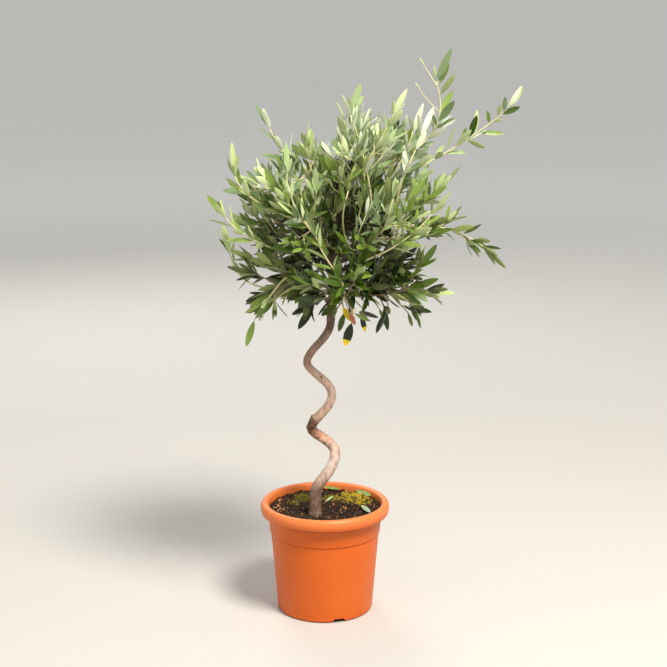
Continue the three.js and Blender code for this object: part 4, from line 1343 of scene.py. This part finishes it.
def make_strays(shapes, random):
    for foot, tip, kind, width, green in STRAYS:
        foot, tip = Vector(foot), Vector(tip)
        root = on_limb(shapes["limbs"], foot + UP * 12)
        points = bezier([root, root.lerp(foot, 0.6) + Vector((0, -3, 5)), foot], 8)
        add_tube(shapes["twigs"], points, tapered((1.0, 0.5), points), 5, 1)
        face = Vector((0.2 * (random() - 0.5), -1, 0.35))
        form = (0.1, 0.2, 0.3 * (random() - 0.5))
        leaf_between(shapes["leaves"], foot, tip, face, width, kind, form, (green, "yellow"))


def make_front_shoots(shapes, random):
    for start, first, second, tip, tints, bare in FRONT_SHOOTS:
        foot = on_limb(shapes["limbs"], Vector(start))
        points = bezier([foot, Vector(first), Vector(second), Vector(tip)], 24)
        across = square_to((points[1] - points[0]).normalized())
        twig = new_twig(points, "shoot", across, 360 * random(), bare=Line(points).length * bare)
        dress(twig, shapes, tints, random)


def make_shoot_leaves(shapes, random):
    for foot, tip, kind, width, side in SHOOT_LEAVES:
        foot = on_limb(shapes["limbs"], Vector(foot))
        face = Vector((1.1 * (random() - 0.5), -1 if side == "upper" else 1, 0.3))
        form = (mix(-0.1, 0.4, random()), 0.2, 0.4 * (random() - 0.5))
        leaf_between(shapes["leaves"], foot, Vector(tip), face, width, kind, form)


def make_thin_twigs(shapes):
    for start, middle, tip in THIN_TWIGS:
        foot = on_limb(shapes["limbs"], Vector(start))
        points = bezier([foot, Vector(middle), Vector(tip)], 10)
        add_tube(shapes["twigs"], points, tapered((0.9, 0.5), points), 5, 0)
        heading = (points[-1] - points[-3]).normalized()
        face = square_to(heading)
        add_leaf(shapes["leaves"], points[-3], heading, face, *THIN_LEAF, "young", (0.2, 0.3, 0.4))


def make_camera():
    camera = new_object("camera", bpy.data.cameras.new("camera"))
    camera.location = Vector(CAMERA_PLACE) * MILLIMETRE
    camera.rotation_euler = (math.radians(90 - CAMERA_PITCH), 0, 0)
    camera.data.sensor_width = 36
    camera.data.lens = LENS
    camera.data.clip_start = 0.05
    bpy.context.scene.camera = camera


def make_floor():
    corners = [Vector((x * FLOOR_HALF, y * FLOOR_HALF, 0)) for x, y in ((-1, -1), (1, -1), (1, 1), (-1, 1))]
    floor = new_object("floor", new_mesh("floor", corners, [(0, 1, 2, 3)]))
    n = Nodes(plain("pale_floor", PAINT["floor"], 0.85))
    tone = n.blend(n.near((0, 0, 0), 1200, 6000), linear(PAINT["floor_far"]), linear(PAINT["floor"]))
    n.feed(n.shader, {"Base Color": tone})
    floor.data.materials.append(n.material)


def make_light():
    for name, (place, aim, size, power, colour) in LIGHTS.items():
        light = new_object(name, bpy.data.lights.new(name, "AREA"))
        light.data.shape = "DISK"
        light.data.size = size
        light.data.energy = power
        light.data.color = colour
        light.location = place
        light.rotation_mode = "QUATERNION"
        light.rotation_quaternion = (UP * aim - Vector(place)).to_track_quat("-Z", "Y")
    world = bpy.data.worlds.new("studio")
    world.use_nodes = True
    for key, value in SKY.items():
        world.node_tree.nodes["Background"].inputs[key].default_value = value
    bpy.context.scene.world = world
    bpy.context.scene.view_settings.view_transform = "Standard"


def grow_tier(tier, plan, lines, shapes):
    """The foliage of one tier, with the short twigs of its boughs. Returns the nodes that it replaces."""
    stem_top = [stem_place(LEADER_TIP.z - 6), LEADER_TIP.copy()]
    members = [(number, mass) for number, mass in enumerate(plan) if mass["tier"] == tier]
    for number, mass in members:
        foliage(mass, number, plan, lines.get(mass["name"], stem_top), shapes)
        if mass["root"] is not None:
            random = stream(BOUGH_TWIGS["seed"] + number)
            limb = Line(lines[mass["name"]])
            limb_twigs(limb, BOUGH_GIRTH, BOUGH_TWIGS["from"], BOUGH_TWIGS["step"], shapes, random)
    return [f"foliage_{mass['name']}" for _, mass in members]


def leader_twigs(shapes):
    leader = Line([stem_place(height) for height in range(LEADER_TWIGS["from"], LEADER_TWIGS["to"], 6)])
    limb_twigs(leader, LEADER_TWIGS["girth"], 0, LEADER_TWIGS["step"], shapes, stream(LEADER_TWIGS["seed"]))


def make_crown(plan, lines, leaf_paints):
    twigs = Shape()
    limbs = list(lines.values())
    for tier in (*TIERS, "top"):
        shapes = {"leaves": Shape(), "twigs": twigs, "limbs": limbs}
        nodes = grow_tier(tier, plan, lines, shapes)
        if tier == "mid":
            leader_twigs(shapes)
        piece(f"leaves_{tier}", shapes["leaves"], leaf_paints, nodes)
    shapes = {"leaves": Shape(), "twigs": twigs, "limbs": limbs}
    make_strays(shapes, stream(SEEDS["strays"]))
    make_front_shoots(shapes, stream(SEEDS["front_shoots"]))
    make_shoot_leaves(shapes, stream(SEEDS["shoot_leaves"]))
    make_thin_twigs(shapes)
    piece("leaves_alone", shapes["leaves"], leaf_paints)
    twig_paints = [plain(f"twig_{kind}", colour, 0.65) for kind, colour in TWIG_PAINT.items()]
    piece("twigs", twigs, twig_paints)


make_camera()
make_floor()
make_light()
bark_material = bark()
leaf_paints = leaf_materials()
make_pot()
make_compost()
make_chips()
make_moss()
make_fallen_leaves(leaf_paints)
make_stem(bark_material)
crown = crown_plan()
make_crown(crown, make_boughs(crown, bark_material), leaf_paints)
